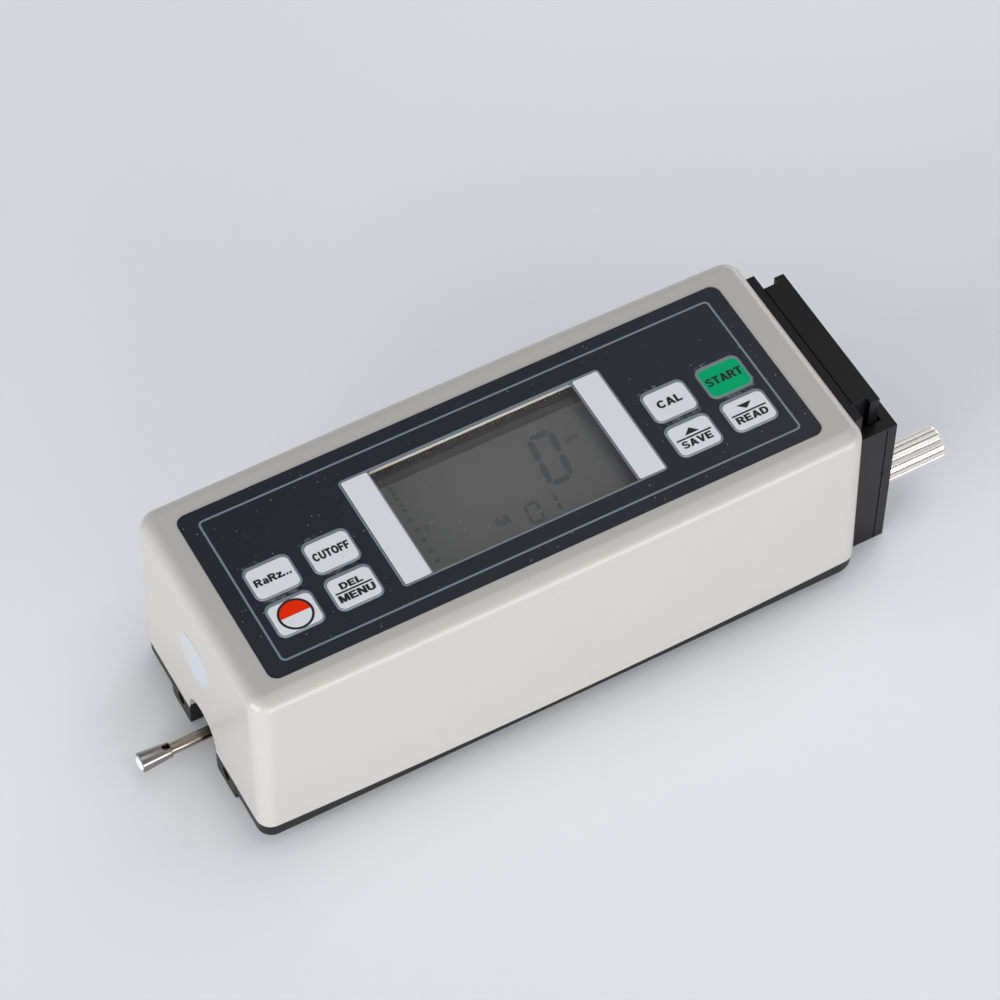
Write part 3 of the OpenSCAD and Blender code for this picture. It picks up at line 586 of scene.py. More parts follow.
def grown(obj, tree, values):
    """Run a tree on an object with the given inputs and keep the result as plain mesh."""
    mod = obj.modifiers.new(tree.name, "NODES")
    mod.node_group = tree
    for item in tree.interface.items_tree:
        if item.in_out == "INPUT" and item.name in values:
            mod[item.identifier] = values[item.name]
    return frozen(obj)


# Shared effects


def effect(name, inputs, outputs):
    """A shader node group with named inputs and outputs, and the object's own coordinates."""
    tree = bpy.data.node_groups.new(name, "ShaderNodeTree")
    for label, value in inputs.items():
        tree.interface.new_socket(label, in_out="INPUT", socket_type="NodeSocketFloat").default_value = value
    for label in outputs:
        tree.interface.new_socket(label, in_out="OUTPUT", socket_type="NodeSocketFloat")
    given, out = tree.nodes.new("NodeGroupInput"), tree.nodes.new("NodeGroupOutput")
    place = node(tree, "ShaderNodeTexCoord").outputs["Object"]
    return tree, given.outputs, out.inputs, place


def noise(tree, place, scale, detail, rough):
    sockets = {"Vector": place, "Scale": scale, "Detail": detail, "Roughness": rough}
    return node(tree, "ShaderNodeTexNoise", sockets).outputs[0]


def grain_effect(name):
    """Fine surface grain and broad, faint patches."""
    inputs = {"Grain Scale": 2400.0, "Patch Scale": 60.0, "Patch Detail": 4.0}
    tree, given, out, place = effect(name, inputs, ["Height", "Patch"])
    tree.links.new(noise(tree, place, given["Grain Scale"], 3.0, 0.55), out["Height"])
    tree.links.new(noise(tree, place, given["Patch Scale"], given["Patch Detail"], 0.6), out["Patch"])


def speck_effect(name):
    """Small scattered specks, as a mask."""
    tree, given, out, place = effect(name, {"Scale": 350.0, "Share": 0.15, "Size": 0.16}, ["Mask"])
    cells = node(tree, "ShaderNodeTexVoronoi", {"Vector": place, "Scale": given["Scale"]})
    parts = node(tree, "ShaderNodeSeparateColor", {"Color": cells.outputs["Color"]})
    edge = maths(tree, "MULTIPLY", parts.outputs[1], given["Size"])
    near = maths(tree, "LESS_THAN", cells.outputs["Distance"], edge)
    pick = maths(tree, "LESS_THAN", parts.outputs[0], given["Share"])
    tree.links.new(maths(tree, "MULTIPLY", near, pick), out["Mask"])


def streak_effect(name):
    """Fine streaks along X, as left by grinding or wiping."""
    tree, given, out, place = effect(name, {"Scale": 900.0, "Stretch": 0.03}, ["Height"])
    parts = node(tree, "ShaderNodeSeparateXYZ", {"Vector": place})
    along = maths(tree, "MULTIPLY", parts.outputs[0], given["Stretch"])
    joined = node(tree, "ShaderNodeCombineXYZ", {"X": along, "Y": parts.outputs[1], "Z": parts.outputs[2]})
    tree.links.new(noise(tree, joined.outputs[0], given["Scale"], 2.0, 0.5), out["Height"])


EFFECTS = {"Surface grain": grain_effect, "Specks": speck_effect, "Streaks": streak_effect}


def use(tree, name, **values):
    """Place a shared effect in a material with its own values; the effect is built at its first use."""
    if name not in bpy.data.node_groups:
        EFFECTS[name](name)
    n = tree.nodes.new("ShaderNodeGroup")
    n.node_tree = bpy.data.node_groups[name]
    for key, value in values.items():
        n.inputs[key.replace("_", " ")].default_value = value
    return n.outputs


def blend(tree, factor, a, b):
    """Mix of two colours by a mask."""
    return node(tree, "ShaderNodeMix", {0: factor, 6: a, 7: b}, data_type="RGBA").outputs[2]


def spread(tree, value, low, high, start=0.0, end=1.0):
    """A value moved to the range from low to high."""
    sockets = {"Value": value, "From Min": start, "From Max": end, "To Min": low, "To Max": high}
    return node(tree, "ShaderNodeMapRange", sockets).outputs[0]


def shade(rgba, k):
    return (rgba[0] * k, rgba[1] * k, rgba[2] * k, 1.0)


# Finishes


def material(name):
    """A new material, its node tree and its Principled shader."""
    mat = bpy.data.materials.new(name)
    mat.use_nodes = True
    return mat, mat.node_tree, mat.node_tree.nodes["Principled BSDF"]


def bumped(tree, height, strength, depth):
    sockets = {"Height": height, "Strength": strength, "Distance": depth}
    return node(tree, "ShaderNodeBump", sockets).outputs[0]


def coated(
    name, rgba, rough, grain=2400.0, patch=60.0, depth=0.00002, vary=0.03,
    sway=0.04, specks=None, ior=1.5, detail=4.0,
):
    """A paint, plastic or metal with faint patches and, if asked, grain and specks of dust."""
    mat, tree, bsdf = material(name)
    surface = use(tree, "Surface grain", Grain_Scale=grain, Patch_Scale=patch, Patch_Detail=detail)
    base = blend(tree, surface["Patch"], shade(rgba, 1 - vary), shade(rgba, 1 + vary))
    gloss = spread(tree, surface["Patch"], rough - sway, rough + sway)
    if specks:
        values, tint = specks
        mask = use(tree, "Specks", **values)["Mask"]
        base = blend(tree, mask, base, (*tint, 1.0))
        gloss = maths(tree, "ADD", gloss, spread(tree, mask, 0.0, 0.3))
    fill(tree, bsdf, {"Base Color": base, "Roughness": gloss, "IOR": ior})
    if depth:
        fill(tree, bsdf, {"Normal": bumped(tree, surface["Height"], 0.25, depth)})
    return mat


def worn(name, rgba, rub):
    """Film that is rubbed pale in soft patches."""
    mat, tree, bsdf = material(name)
    mask = spread(tree, use(tree, "Surface grain", Patch_Scale=620.0)["Patch"], 0.0, 1.0, 0.44, 0.66)
    base = blend(tree, mask, rgba, rub)
    fill(tree, bsdf, {"Base Color": base, "Roughness": spread(tree, mask, 0.34, 0.55), "IOR": 1.45})
    return mat


def ground(name, rgba, rough, scale=900.0, stretch=0.03):
    """Ground or plated metal with fine streaks along X."""
    mat, tree, bsdf = material(name)
    lines = use(tree, "Streaks", Scale=scale, Stretch=stretch)["Height"]
    patch = use(tree, "Surface grain", Patch_Scale=140.0)["Patch"]
    base = blend(tree, patch, shade(rgba, 0.93), rgba)
    gloss = spread(tree, lines, rough - 0.05, rough + 0.07, 0.3, 0.7)
    normal = bumped(tree, lines, 0.2, 0.00001)
    fill(tree, bsdf, {"Base Color": base, "Roughness": gloss, "Normal": normal, "Metallic": 1.0})
    return mat


def clear_pane(name, rgba):
    """Clear pane that lets light through to the display."""
    mat, tree, bsdf = material(name)
    gloss = spread(tree, use(tree, "Surface grain", Patch_Scale=90.0)["Patch"], 0.02, 0.06, 0.3, 0.7)
    fill(tree, bsdf, {"Base Color": rgba, "Roughness": gloss, "Transmission Weight": 1.0, "IOR": 1.45})
    shadow = node(tree, "ShaderNodeLightPath").outputs["Is Shadow Ray"]
    open_way = node(tree, "ShaderNodeBsdfTransparent", {"Color": (0.92, 0.93, 0.93, 1.0)})
    either = node(tree, "ShaderNodeMixShader", {0: shadow, 1: bsdf.outputs[0], 2: open_way.outputs[0]})
    tree.links.new(either.outputs[0], tree.nodes["Material Output"].inputs["Surface"])
    return mat


FILM_DUST = ({"Scale": 420.0, "Share": 0.10, "Size": 0.13}, (0.08, 0.083, 0.088))
METAL_DUST = ({"Scale": 260.0, "Share": 0.06, "Size": 0.07}, (0.09, 0.09, 0.09))
PRINT = dict(grain=3800.0, patch=90.0, depth=0.000008)
FINE_PRINT = dict(grain=5200.0, patch=160.0, depth=0.000005)
LCD = dict(grain=5200.0, patch=50.0, depth=0.000002, vary=0.05)
MILLED = dict(rough=0.34, scale=700.0)
# each finish: how it is made, its colour or the panel's colour, and its own values
FINISHES = {
    "case_plastic": (
        coated,
        "case",
        dict(rough=0.30, patch=40.0, depth=0.0, vary=0.012, sway=0.02, ior=1.6, detail=1.0),
    ),
    # painted light: a lighter copy of the case plastic for the far wall of the window opening, standing in
    # for the light that falls on that wall
    "cut_edge": (coated, (0.80, 0.76, 0.68), dict(rough=0.5, patch=300.0, depth=0.0, vary=0.04)),
    "film": (
        coated,
        "film",
        dict(rough=0.34, grain=3800.0, patch=70.0, depth=0.000015, vary=0.10, specks=FILM_DUST, ior=1.45),
    ),
    "line_print": (coated, "line", dict(FINE_PRINT, rough=0.42, vary=0.06)),
    "white_print": (coated, "white", dict(PRINT, rough=0.38, vary=0.015)),
    "green_print": (coated, "green", dict(PRINT, rough=0.42, ior=1.15)),
    "red_print": (coated, "red", dict(PRINT, rough=0.42, ior=1.15)),
    "ink_print": (coated, "ink", dict(FINE_PRINT, rough=0.5, vary=0.08, ior=1.35)),
    "lcd_field": (coated, "lcd_field", dict(LCD, rough=0.45, depth=0.000004, vary=0.03)),
    "lcd_edge": (coated, "lcd_edge", dict(LCD, rough=0.22)),
    # painted light: the glass edge right of the sheet, lighter than the bare glass to make up for the shade
    # of the window wall
    "lcd_side": (coated, (0.092, 0.089, 0.091), dict(LCD, rough=0.45)),
    # painted light: the lower glass is lighter than the bare glass edge, to make up for the shade of the case
    # lid on it
    "lcd_ledge": (coated, (0.15, 0.138, 0.136), dict(LCD, rough=0.45, patch=200.0, vary=0.12)),
    "lcd_mark": (coated, "lcd_mark", dict(LCD, rough=0.45, patch=120.0, vary=0.08)),
    "anodised": (
        coated,
        "anodised",
        dict(rough=0.32, grain=4200.0, patch=120.0, depth=0.00001, vary=0.12, specks=METAL_DUST, ior=1.33),
    ),
    "black_metal": (coated, "plate", dict(rough=0.42, grain=3600.0, patch=110.0, vary=0.12, ior=1.36)),
    "black_plastic": (coated, (0.015, 0.015, 0.016), dict(rough=0.5, grain=3000.0, patch=120.0, vary=0.1)),
    "white_plastic": (
        coated,
        (0.80, 0.80, 0.79),
        dict(rough=0.32, grain=3600.0, patch=150.0, depth=0.000005, vary=0.015),
    ),
    "label_paper": (
        coated,
        (0.50, 0.53, 0.57),
        dict(rough=0.42, grain=4200.0, patch=240.0, depth=0.000006, vary=0.02),
    ),
    "board": (coated, (0.012, 0.11, 0.045), dict(rough=0.35, grain=2600.0, patch=220.0, vary=0.15)),
    "battery_wrap": (coated, (0.035, 0.10, 0.30), dict(rough=0.32, grain=1800.0, patch=160.0, vary=0.05)),
    "rubbed": (worn, "film", dict(rub=(0.13, 0.135, 0.15, 1.0))),
    "joint_gap": (coated, (0.003, 0.003, 0.003), dict(rough=0.6, patch=300.0, depth=0.0, vary=0.1, ior=1.05)),
    "pin_metal": (
        coated,
        (0.24, 0.21, 0.18),
        dict(rough=0.4, grain=5200.0, patch=600.0, depth=0.000004, vary=0.2),
    ),
    "dust": (coated, (0.30, 0.305, 0.315), dict(rough=0.8, grain=6000.0, patch=900.0, vary=0.25)),
    "steel": (ground, "steel", dict(rough=0.20)),
    # painted reflection: the stem's steel is darker and browner than the head's, for the dark, warm
    # surroundings it reflects
    "stem_steel": (ground, (0.38, 0.335, 0.285), dict(rough=0.20)),
    # painted shade: darker steel for the floors of the knob's flutes
    "dark_steel": (ground, (0.20, 0.19, 0.18), dict(rough=0.35)),
    "nickel": (ground, "nickel", dict(rough=0.36, scale=1400.0, stretch=0.05)),
    "aluminium": (ground, (0.60, 0.61, 0.63), MILLED),
    "brass": (ground, (0.62, 0.43, 0.16), MILLED),
    "window": (clear_pane, (0.95, 0.96, 0.96), {}),
}


def finish(name):
    """The finish of that name, made at its first use."""
    label = name + "_finish"
    if label in bpy.data.materials:
        return bpy.data.materials[label]
    make, tint, values = FINISHES[name]
    rgba = getattr(colours(), tint) if isinstance(tint, str) else (*tint, 1.0)
    return make(label, rgba, **values)


# Operators


class TesterPart:
    """What the operators share"""

    bl_options = {"REGISTER"}


class TESTER_OT_stage(TesterPart, bpy.types.Operator):
    """Make the camera, the pale floor and the soft studio light"""

    bl_idname = "tester.stage"
    bl_label = "Stage"

    # where the camera looks, in millimetres, how far away it is, in metres, and its angles, in degrees
    AIM = (-3.362, -5.699, 48.9)
    AWAY = 0.72139
    TURN, HEIGHT, ROLL = -28.465, 54.010, -0.353
    LENS, SENSOR = 129.86, 36.0
    FLOOR_HALF = 4.0
    SKY_LOW = (0.76, 0.765, 0.79, 1.0)
    SKY_HIGH = (0.27, 0.275, 0.29, 1.0)
    # each lamp: its place and size in metres, and its power in watts
    LAMPS = {
        "near_softbox": ((0.25, -1.30, 0.23), (2.0, 0.38), 11.7),
        "front_softbox": ((-1.30, -0.40, 0.36), (1.2, 0.6), 13.9),
        "rear_softbox": ((1.20, 0.85, 0.40), (1.2, 0.6), 4.5),
        "top_softbox": ((0.60, 0.10, 1.35), (1.1, 1.1), 4.4),
    }
    LAMP_AIM = (0.0, 0.0, 0.02)

    def execute(self, context):
        scene = context.scene
        scene.view_settings.view_transform = "Standard"
        self.camera(scene)
        self.floor()
        self.sky(scene)
        for name, values in self.LAMPS.items():
            self.lamp(scene, name, *values)
        return {"FINISHED"}

    def camera(self, scene):
        turn, height, roll = (math.radians(a) for a in (self.TURN, self.HEIGHT, self.ROLL))
        flat = math.cos(height)
        back = Vector((math.sin(turn) * flat, -math.cos(turn) * flat, math.sin(height)))
        right = Vector((0, 0, 1)).cross(back).normalized()
        up = back.cross(right)
        c, s = math.cos(roll), math.sin(roll)
        place = Matrix((right * c + up * s, up * c - right * s, back)).transposed().to_4x4()
        place.translation = at(*self.AIM) + back * self.AWAY
        eye = bpy.data.objects.new("camera", bpy.data.cameras.new("camera"))
        scene.collection.objects.link(eye)
        eye.matrix_world = place
        eye.data.sensor_width = self.SENSOR
        eye.data.lens = self.LENS
        eye.data.clip_start = 0.01
        scene.camera = eye

    def floor(self):
        bm = bmesh.new()
        bmesh.ops.create_grid(bm, x_segments=8, y_segments=8, size=self.FLOOR_HALF)
        floor = blank("floor", bm)
        paper = coated("floor_paper", colours().floor, 0.85, grain=60.0, patch=1.2, depth=0.0001, vary=0.006)
        floor.data.materials.append(paper)

    def sky(self, scene):
        """Pale low down and darker overhead."""
        world = bpy.data.worlds.new("studio")
        scene.world = world
        world.use_nodes = True
        tree = world.node_tree
        way = node(tree, "ShaderNodeTexCoord").outputs["Generated"]
        up = node(tree, "ShaderNodeSeparateXYZ", {"Vector": way}).outputs[2]
        rise = {"Value": up, "From Min": 0.0, "From Max": 0.75}
        rise = node(tree, "ShaderNodeMapRange", rise, interpolation_type="SMOOTHSTEP").outputs[0]
        tint = blend(tree, rise, self.SKY_LOW, self.SKY_HIGH)
        fill(tree, tree.nodes["Background"], {"Color": tint, "Strength": 1.0})

    def lamp(self, scene, name, place, size, power):
        data = bpy.data.lights.new(name, "AREA")
        data.shape = "RECTANGLE"
        data.size, data.size_y = size
        data.energy = power
        lamp = bpy.data.objects.new(name, data)
        scene.collection.objects.link(lamp)
        lamp.location = place
        lamp.visible_camera = False
        aim = Vector(self.LAMP_AIM) - Vector(place)
        lamp.rotation_euler = aim.to_track_quat("-Z", "Y").to_euler()


def fillet(radius, depth):
    """How far a rounded top edge lies back from its wall at a depth below the top."""
    rest = max(radius - depth, 0.0)
    return radius - math.sqrt(radius * radius - rest * rest)


class TESTER_OT_case(TesterPart, bpy.types.Operator):
    """Loft the drafted case, cut its openings and add the blank label"""

    bl_idname = "tester.case"
    bl_label = "Case"

    HALF_L, HALF_W = CASE_L / 2, 27.9
    DRAFT, WALL = 0.8, 2.2
    CORNER_R, TOP_CORNER_R, TOP_EDGE_R = 3.4, 4.2, 3.0
    FOOT_BOW, TOP_BOW = 1.0, 0.4
    RECESS_GAP, RECESS_R = 0.1, 2.2
    WINDOW_L, WINDOW_W, WINDOW_R = 47.8, 28.1, 0.6
    RELIEF_L, RELIEF_W, RELIEF_R, RELIEF_SKIN = 51.4, 33.3, 2.4, 0.9
    KEY_HOLE = (10.1, 8.6, 1.7)
    SOCKET_HOLE = (10.0, 4.2, 1.7)
    SOCKET_Y = (23.7, 29.5)
    ARCH_R, ARCH_RISE, ARCH_STEPS, ARCH_EDGE = 6.1, 1.4, 28, 0.25
    ARCH_X = (-71.5, -66.0)
    ARCH_FACE_X = -68.6
    PAD_R, PAD_EDGE, PAD_START = 4.0, 0.08, 68.4
    PAD_Y, PAD_Z = (-8.0, 8.0), (15.0, 36.0)
    LABEL_Y, LABEL_Z = 0.95, 30.2

    def execute(self, context):
        shell = carved(blank("case_shell", self.shell()), self.recess(), self.openings(), self.relief())
        self.round_arch(shell.data)
        dress(shell, "root", ["case_plastic", "cut_edge"], ("case",), sharp=34.0)
        # the far wall of the window takes the lighter copy of the case plastic: painted light
        far = (WINDOW_Y + self.WINDOW_W / 2) * MM
        for face in shell.data.polygons:
            if face.normal.y < -0.9 and abs(face.center.y - far) < 1e-4:
                face.material_index = 1
        self.label()
        self.rail_pads()
        return {"FINISHED"}

    def outline(self, inset, radius, near=0.0, rear=0.0, belly=TOP_BOW, arc=10, side=24):
        """Rounded corners and bowed long sides; the near and rear sides can lie further out."""
        points = []
        for k, (sx, sy) in quarter_turns():
            hw = self.HALF_W - inset + (near if sy < 0 else 0.0)
            hl = self.HALF_L - inset + (rear if sx > 0 else 0.0)
            for i in range(arc + 1):
                a = math.radians(90 * (k + i / arc))
                x, y = sx * (hl - radius), sy * (hw - radius)
                points.append((x + radius * math.cos(a), y + radius * math.sin(a)))
            if k in (0, 2):
                ends = (self.HALF_L - inset + rear - radius, -(self.HALF_L - inset - radius))
                start, stop = ends if k == 0 else ends[::-1]
                for i in range(1, side):
                    t = i / side
                    points.append((start + (stop - start) * t, sy * (hw + belly * 4 * t * (1 - t))))
        return points

    def shell(self):
        """Drafted outside with a rounded foot and top edge, and a plain hollow."""
        edge, near, foot = sizes().edge_round / MM, sizes().near_round / MM, sizes().foot_round / MM
        layers = []
        for a in (0, 30, 60, 90):
            a = math.radians(a)
            inset = foot * (1 - math.sin(a))
            z = Z_SEAM + foot * (1 - math.cos(a))
            layers.append((inset, self.CORNER_R - inset, 0.0, REAR_MORE, self.FOOT_BOW, z))
        for a in range(0, 91, 9):
            depth = near * (1 - math.sin(math.radians(a)))
            back = fillet(edge, depth)
            inset = self.DRAFT + back
            out = inset - fillet(near, depth)
            layers.append((inset, self.TOP_CORNER_R - back, out, REAR_MORE, self.TOP_BOW, Z_TOP - depth))
        bm = bmesh.new()
        outer = [ring(bm, self.outline(*layer), z) for *layer, z in layers]
        foot_ring = ring(bm, self.outline(self.WALL, self.CORNER_R - self.WALL), Z_SEAM)
        ceiling = self.outline(self.WALL + self.DRAFT, self.TOP_CORNER_R - self.WALL)
        ceiling = ring(bm, ceiling, Z_CEILING)
        for low, high in zip(outer, outer[1:]):
            bridge(bm, low, high)
        close(bm, outer[-1])
        bridge(bm, foot_ring, outer[0])
        bridge(bm, ceiling, foot_ring)
        close(bm, ceiling, up=False)
        return bm

    def recess(self):
        bm = bmesh.new()
        long, wide = FILM_L + self.RECESS_GAP, FILM_W + self.RECESS_GAP
        slab(bm, rounded(0, FILM_Y, long, wide, self.RECESS_R, 8), Z_FILM - FILM_T, Z_TOP + 1)
        return bm

    def openings(self):
        bm = bmesh.new()
        holes = [rounded(0, WINDOW_Y, self.WINDOW_L, self.WINDOW_W, self.WINDOW_R)]
        holes += [rounded(x, y, *self.KEY_HOLE) for x, y in KEYS.values()]
        for hole in holes:
            slab(bm, hole, Z_CEILING - 1, Z_TOP + 1)
        arch = [(-self.ARCH_R, Z_SEAM - 1), (self.ARCH_R, Z_SEAM - 1)]
        for i in range(self.ARCH_STEPS + 1):
            a = math.pi * i / self.ARCH_STEPS
            arch.append((self.ARCH_R * math.cos(a), Z_SEAM + self.ARCH_RISE + self.ARCH_R * math.sin(a)))
        loft(bm, [ring_x(bm, arch, x) for x in self.ARCH_X])
        x, _, z = middle("charging_socket")
        loft(bm, [ring_y(bm, rounded(x, z, *self.SOCKET_HOLE), y) for y in self.SOCKET_Y[::-1]])
        return bm

    def relief(self):
        bm = bmesh.new()
        hole = rounded(0, WINDOW_Y, self.RELIEF_L, self.RELIEF_W, self.RELIEF_R)
        slab(bm, hole, Z_CEILING - 1, Z_FILM - FILM_T - self.RELIEF_SKIN)
        return bm

    def round_arch(self, mesh):
        """Break the outer edge of the arch."""
        bm = bmesh.new()
        bm.from_mesh(mesh)
        past = 0.2
        limit_x = at(self.ARCH_FACE_X, 0, 0).x
        limit_y = (self.ARCH_R + past) * MM
        limit_z = (Z_SEAM + self.ARCH_RISE + self.ARCH_R + past) * MM
        edges = []
        for e in bm.edges:
            if len(e.link_faces) != 2 or max(v.co.x for v in e.verts) > limit_x:
                continue
            if max(abs(v.co.y) for v in e.verts) > limit_y or max(v.co.z for v in e.verts) > limit_z:
                continue
            if e.calc_face_angle(0.0) > math.radians(50):
                edges.append(e)
        rounding = dict(segments=2, profile=0.5, affect="EDGES", clamp_overlap=True)
        bmesh.ops.bevel(bm, geom=edges, offset=self.ARCH_EDGE * MM, **rounding)
        bm.to_mesh(mesh)
        bm.free()

    def rail_pads(self):
        """Four round pads between the drafted rear wall and the rail."""
        bm = bmesh.new()
        end, r, edge = reach("case")[0][1], self.PAD_R, self.PAD_EDGE
        profile = [(self.PAD_START, 0.0), (self.PAD_START, r), (end - edge, r), (end, r - edge), (end, 0.0)]
        for y in self.PAD_Y:
            for z in self.PAD_Z:
                turned(bm, profile, y, z)
        piece(bm, "case_rail_pads", "root", ["case_plastic"], ())

    def label(self):
        """Round blank label on the front end, in the plane of the drafted face."""
        lean = self.DRAFT / (Z_TOP - self.TOP_EDGE_R - Z_SEAM)
        radius = sizes().label_across / MM / 2
        bm = bmesh.new()
        rings = []
        for back, out in ((0.05, 0.08), (0.0, 0.04), (0.0, -0.05)):
            points = circle(self.LABEL_Y, self.LABEL_Z, radius - back, 64)
            rings.append([bm.verts.new(at(lean * (z - Z_SEAM) - self.HALF_L - out, y, z)) for y, z in points])
        loft(bm, rings)
        piece(bm, "front_label", "root", ["label_paper"])


class TESTER_OT_film(TesterPart, bpy.types.Operator):
    """Print the lines and bars on the key film"""

    bl_idname = "tester.film"
    bl_label = "Key film"

    LINE, WHITE = range(2)
    BORDER_L, BORDER_W, BORDER_R, BORDER_IN_R = 117.6, 37.6, 1.2, 0.8
    # frame round the window: its near and far sides from the film's middle, length, line and radii
    NEAR, FAR = -14.87, 14.3
    FRAME_L, FRAME_LINE, FRAME_R, FRAME_IN_R = 60.1, 0.4, 0.9, 0.55
    BARS = ((-29.5, -23.62), (23.78, 29.7))
    BAR_GAP, BAR_R = 0.5, 0.4
    SIDE_X, SIDE_HALF, SIDE_GAP = 23.46, 0.17, 0.35
    FAR_LINE_X, FAR_LINE_Y = 23.4, 14.03
    KEY_L, KEY_W, KEY_R = 9.98, 8.48, 1.65
    KEY_OUT_W, KEY_OUT_Y = 8.5, -0.05

    def execute(self, context):
        paint("keypad_overlay", "film")
        bm = bmesh.new()
        z0, z1 = Z_FILM, Z_FILM + sizes().print_rise / MM
        w = sizes().border_line / MM
        outer = rounded(0, FILM_Y, self.BORDER_L + w, self.BORDER_W + w, self.BORDER_R)
        inner = rounded(0, FILM_Y, self.BORDER_L - w, self.BORDER_W - w, self.BORDER_IN_R)
        band(bm, outer, inner, z0, z1, self.LINE)
        self.window_frame(bm, z0, z1)
        grow = sizes().key_line / MM
        for x, y in KEYS.values():
            long, wide, radius = self.KEY_L + 2 * grow, self.KEY_OUT_W + 2 * grow, self.KEY_R + grow
            outer = rounded(x, y + self.KEY_OUT_Y, long, wide, radius)
            band(bm, outer, rounded(x, y, self.KEY_L, self.KEY_W, self.KEY_R), z0, z1, self.LINE)
        piece(bm, "film_print", "root", ["line_print", "white_print"], even=False)
        return {"FINISHED"}

    def window_frame(self, bm, z0, z1):
        """Line round the window with a white bar at each end, which lies a little lower than the lines."""
        low, high = FILM_Y + self.NEAR, FILM_Y + self.FAR
        mid, tall = (low + high) / 2, high - low
        inner_l, inner_w = self.FRAME_L - 2 * self.FRAME_LINE, tall - 2 * self.FRAME_LINE
        outer = rounded(0, mid, self.FRAME_L, tall, self.FRAME_R)
        band(bm, outer, rounded(0, mid, inner_l, inner_w, self.FRAME_IN_R), z0, z1, self.LINE)
        for x0, x1 in self.BARS:
            area = rounded((x0 + x1) / 2, mid, x1 - x0, tall - 2 * self.BAR_GAP, self.BAR_R, 4)
            slab(bm, area, z0, z1 - 0.004, self.WHITE)
        for x in (-self.SIDE_X, self.SIDE_X):
            ends = (low + self.SIDE_GAP, high - self.SIDE_GAP)
            box(bm, (x - self.SIDE_HALF, x + self.SIDE_HALF), ends, (z0, z1), self.LINE)
        far = (WINDOW_Y + self.FAR_LINE_Y, high - self.SIDE_GAP)
        box(bm, (-self.FAR_LINE_X, self.FAR_LINE_X), far, (z0, z1 - 0.002), self.LINE)


class TESTER_OT_wear(TesterPart, bpy.types.Operator):
    """Add rubbed marks round the upper keys and dust on the film"""

    bl_idname = "tester.wear"
    bl_label = "Wear"

    RUBBED_KEYS = ("key_parameter", "key_cutoff", "key_calibrate", "key_start")
    # the long mark below a key, and the small ones round it: place from the key's middle and half length
    BELOW, BELOW_LONG, BELOW_WIDE = -4.92, 3.9, 0.62
    SMALL = ((-2.6, 4.75, 0.9), (-4.3, 4.45, 0.6), (-1.2, 4.75, 0.7), (3.9, -4.5, 0.8))
    SMALL_WIDE = 0.42
    STRAY = 0.3
    MARK_T, MARK_STEPS = 0.012, 36
    DUST_LIFT, DUST_SEED = 0.025, 7
    DUST_HALF_L, DUST_HALF_W = 62.0, 21.4
    BAR_X, BAR_L, BAR_Y = (-30.0, 23.2), 6.8, (-15.6, 14.0)

    def execute(self, context):
        bm = bmesh.new()
        for k, name in enumerate(self.RUBBED_KEYS):
            x, y = KEYS[name]
            spot = (x + self.STRAY * math.sin(k), y + self.BELOW)
            self.patch(bm, spot, self.BELOW_LONG, self.BELOW_WIDE, k)
            for dx, dy, long in self.SMALL:
                spot = (x + dx + self.STRAY * math.sin(2.0 * k + dx), y + dy)
                self.patch(bm, spot, long, self.SMALL_WIDE, k + dx)
        piece(bm, "film_rub_marks", "root", ["rubbed"], even=False)
        self.dust()
        return {"FINISHED"}

    def patch(self, bm, centre, long, wide, turn):
        """Flat mark with an uneven outline."""
        points = []
        for i in range(self.MARK_STEPS):
            a = 2 * math.pi * i / self.MARK_STEPS
            grow = 1 + 0.14 * math.sin(3 * a + turn) + 0.10 * math.sin(7 * a + 2.3 * turn)
            grow += 0.06 * math.sin(11 * a + turn)
            points.append((centre[0] + long * grow * math.cos(a), centre[1] + wide * grow * math.sin(a)))
        slab(bm, points, Z_FILM, Z_FILM + self.MARK_T)

    def dust(self):
        """Specks on the film, but not on the white bars."""
        low, high, end = FILM_Y - self.DUST_HALF_W, FILM_Y + self.DUST_HALF_W, self.DUST_HALF_L
        left, right = self.BAR_X
        areas = [(-end, low, left, high), (-right, low, right, high), (-left, low, end, high)]
        for x in self.BAR_X:
            areas.append((x, low, x + self.BAR_L, self.BAR_Y[0]))
            areas.append((x, self.BAR_Y[1], x + self.BAR_L, high))
        bm = bmesh.new()
        for area in areas:
            close(bm, ring(bm, bar(*area), Z_FILM + self.DUST_LIFT))
        dust = blank("film_dust", bm)
        values = {"Density": sizes().dust_count, "Seed": self.DUST_SEED, "Material": finish("dust")}
        dress(grown(dust, dust_tree(), values), "root", ["dust"], even=False)


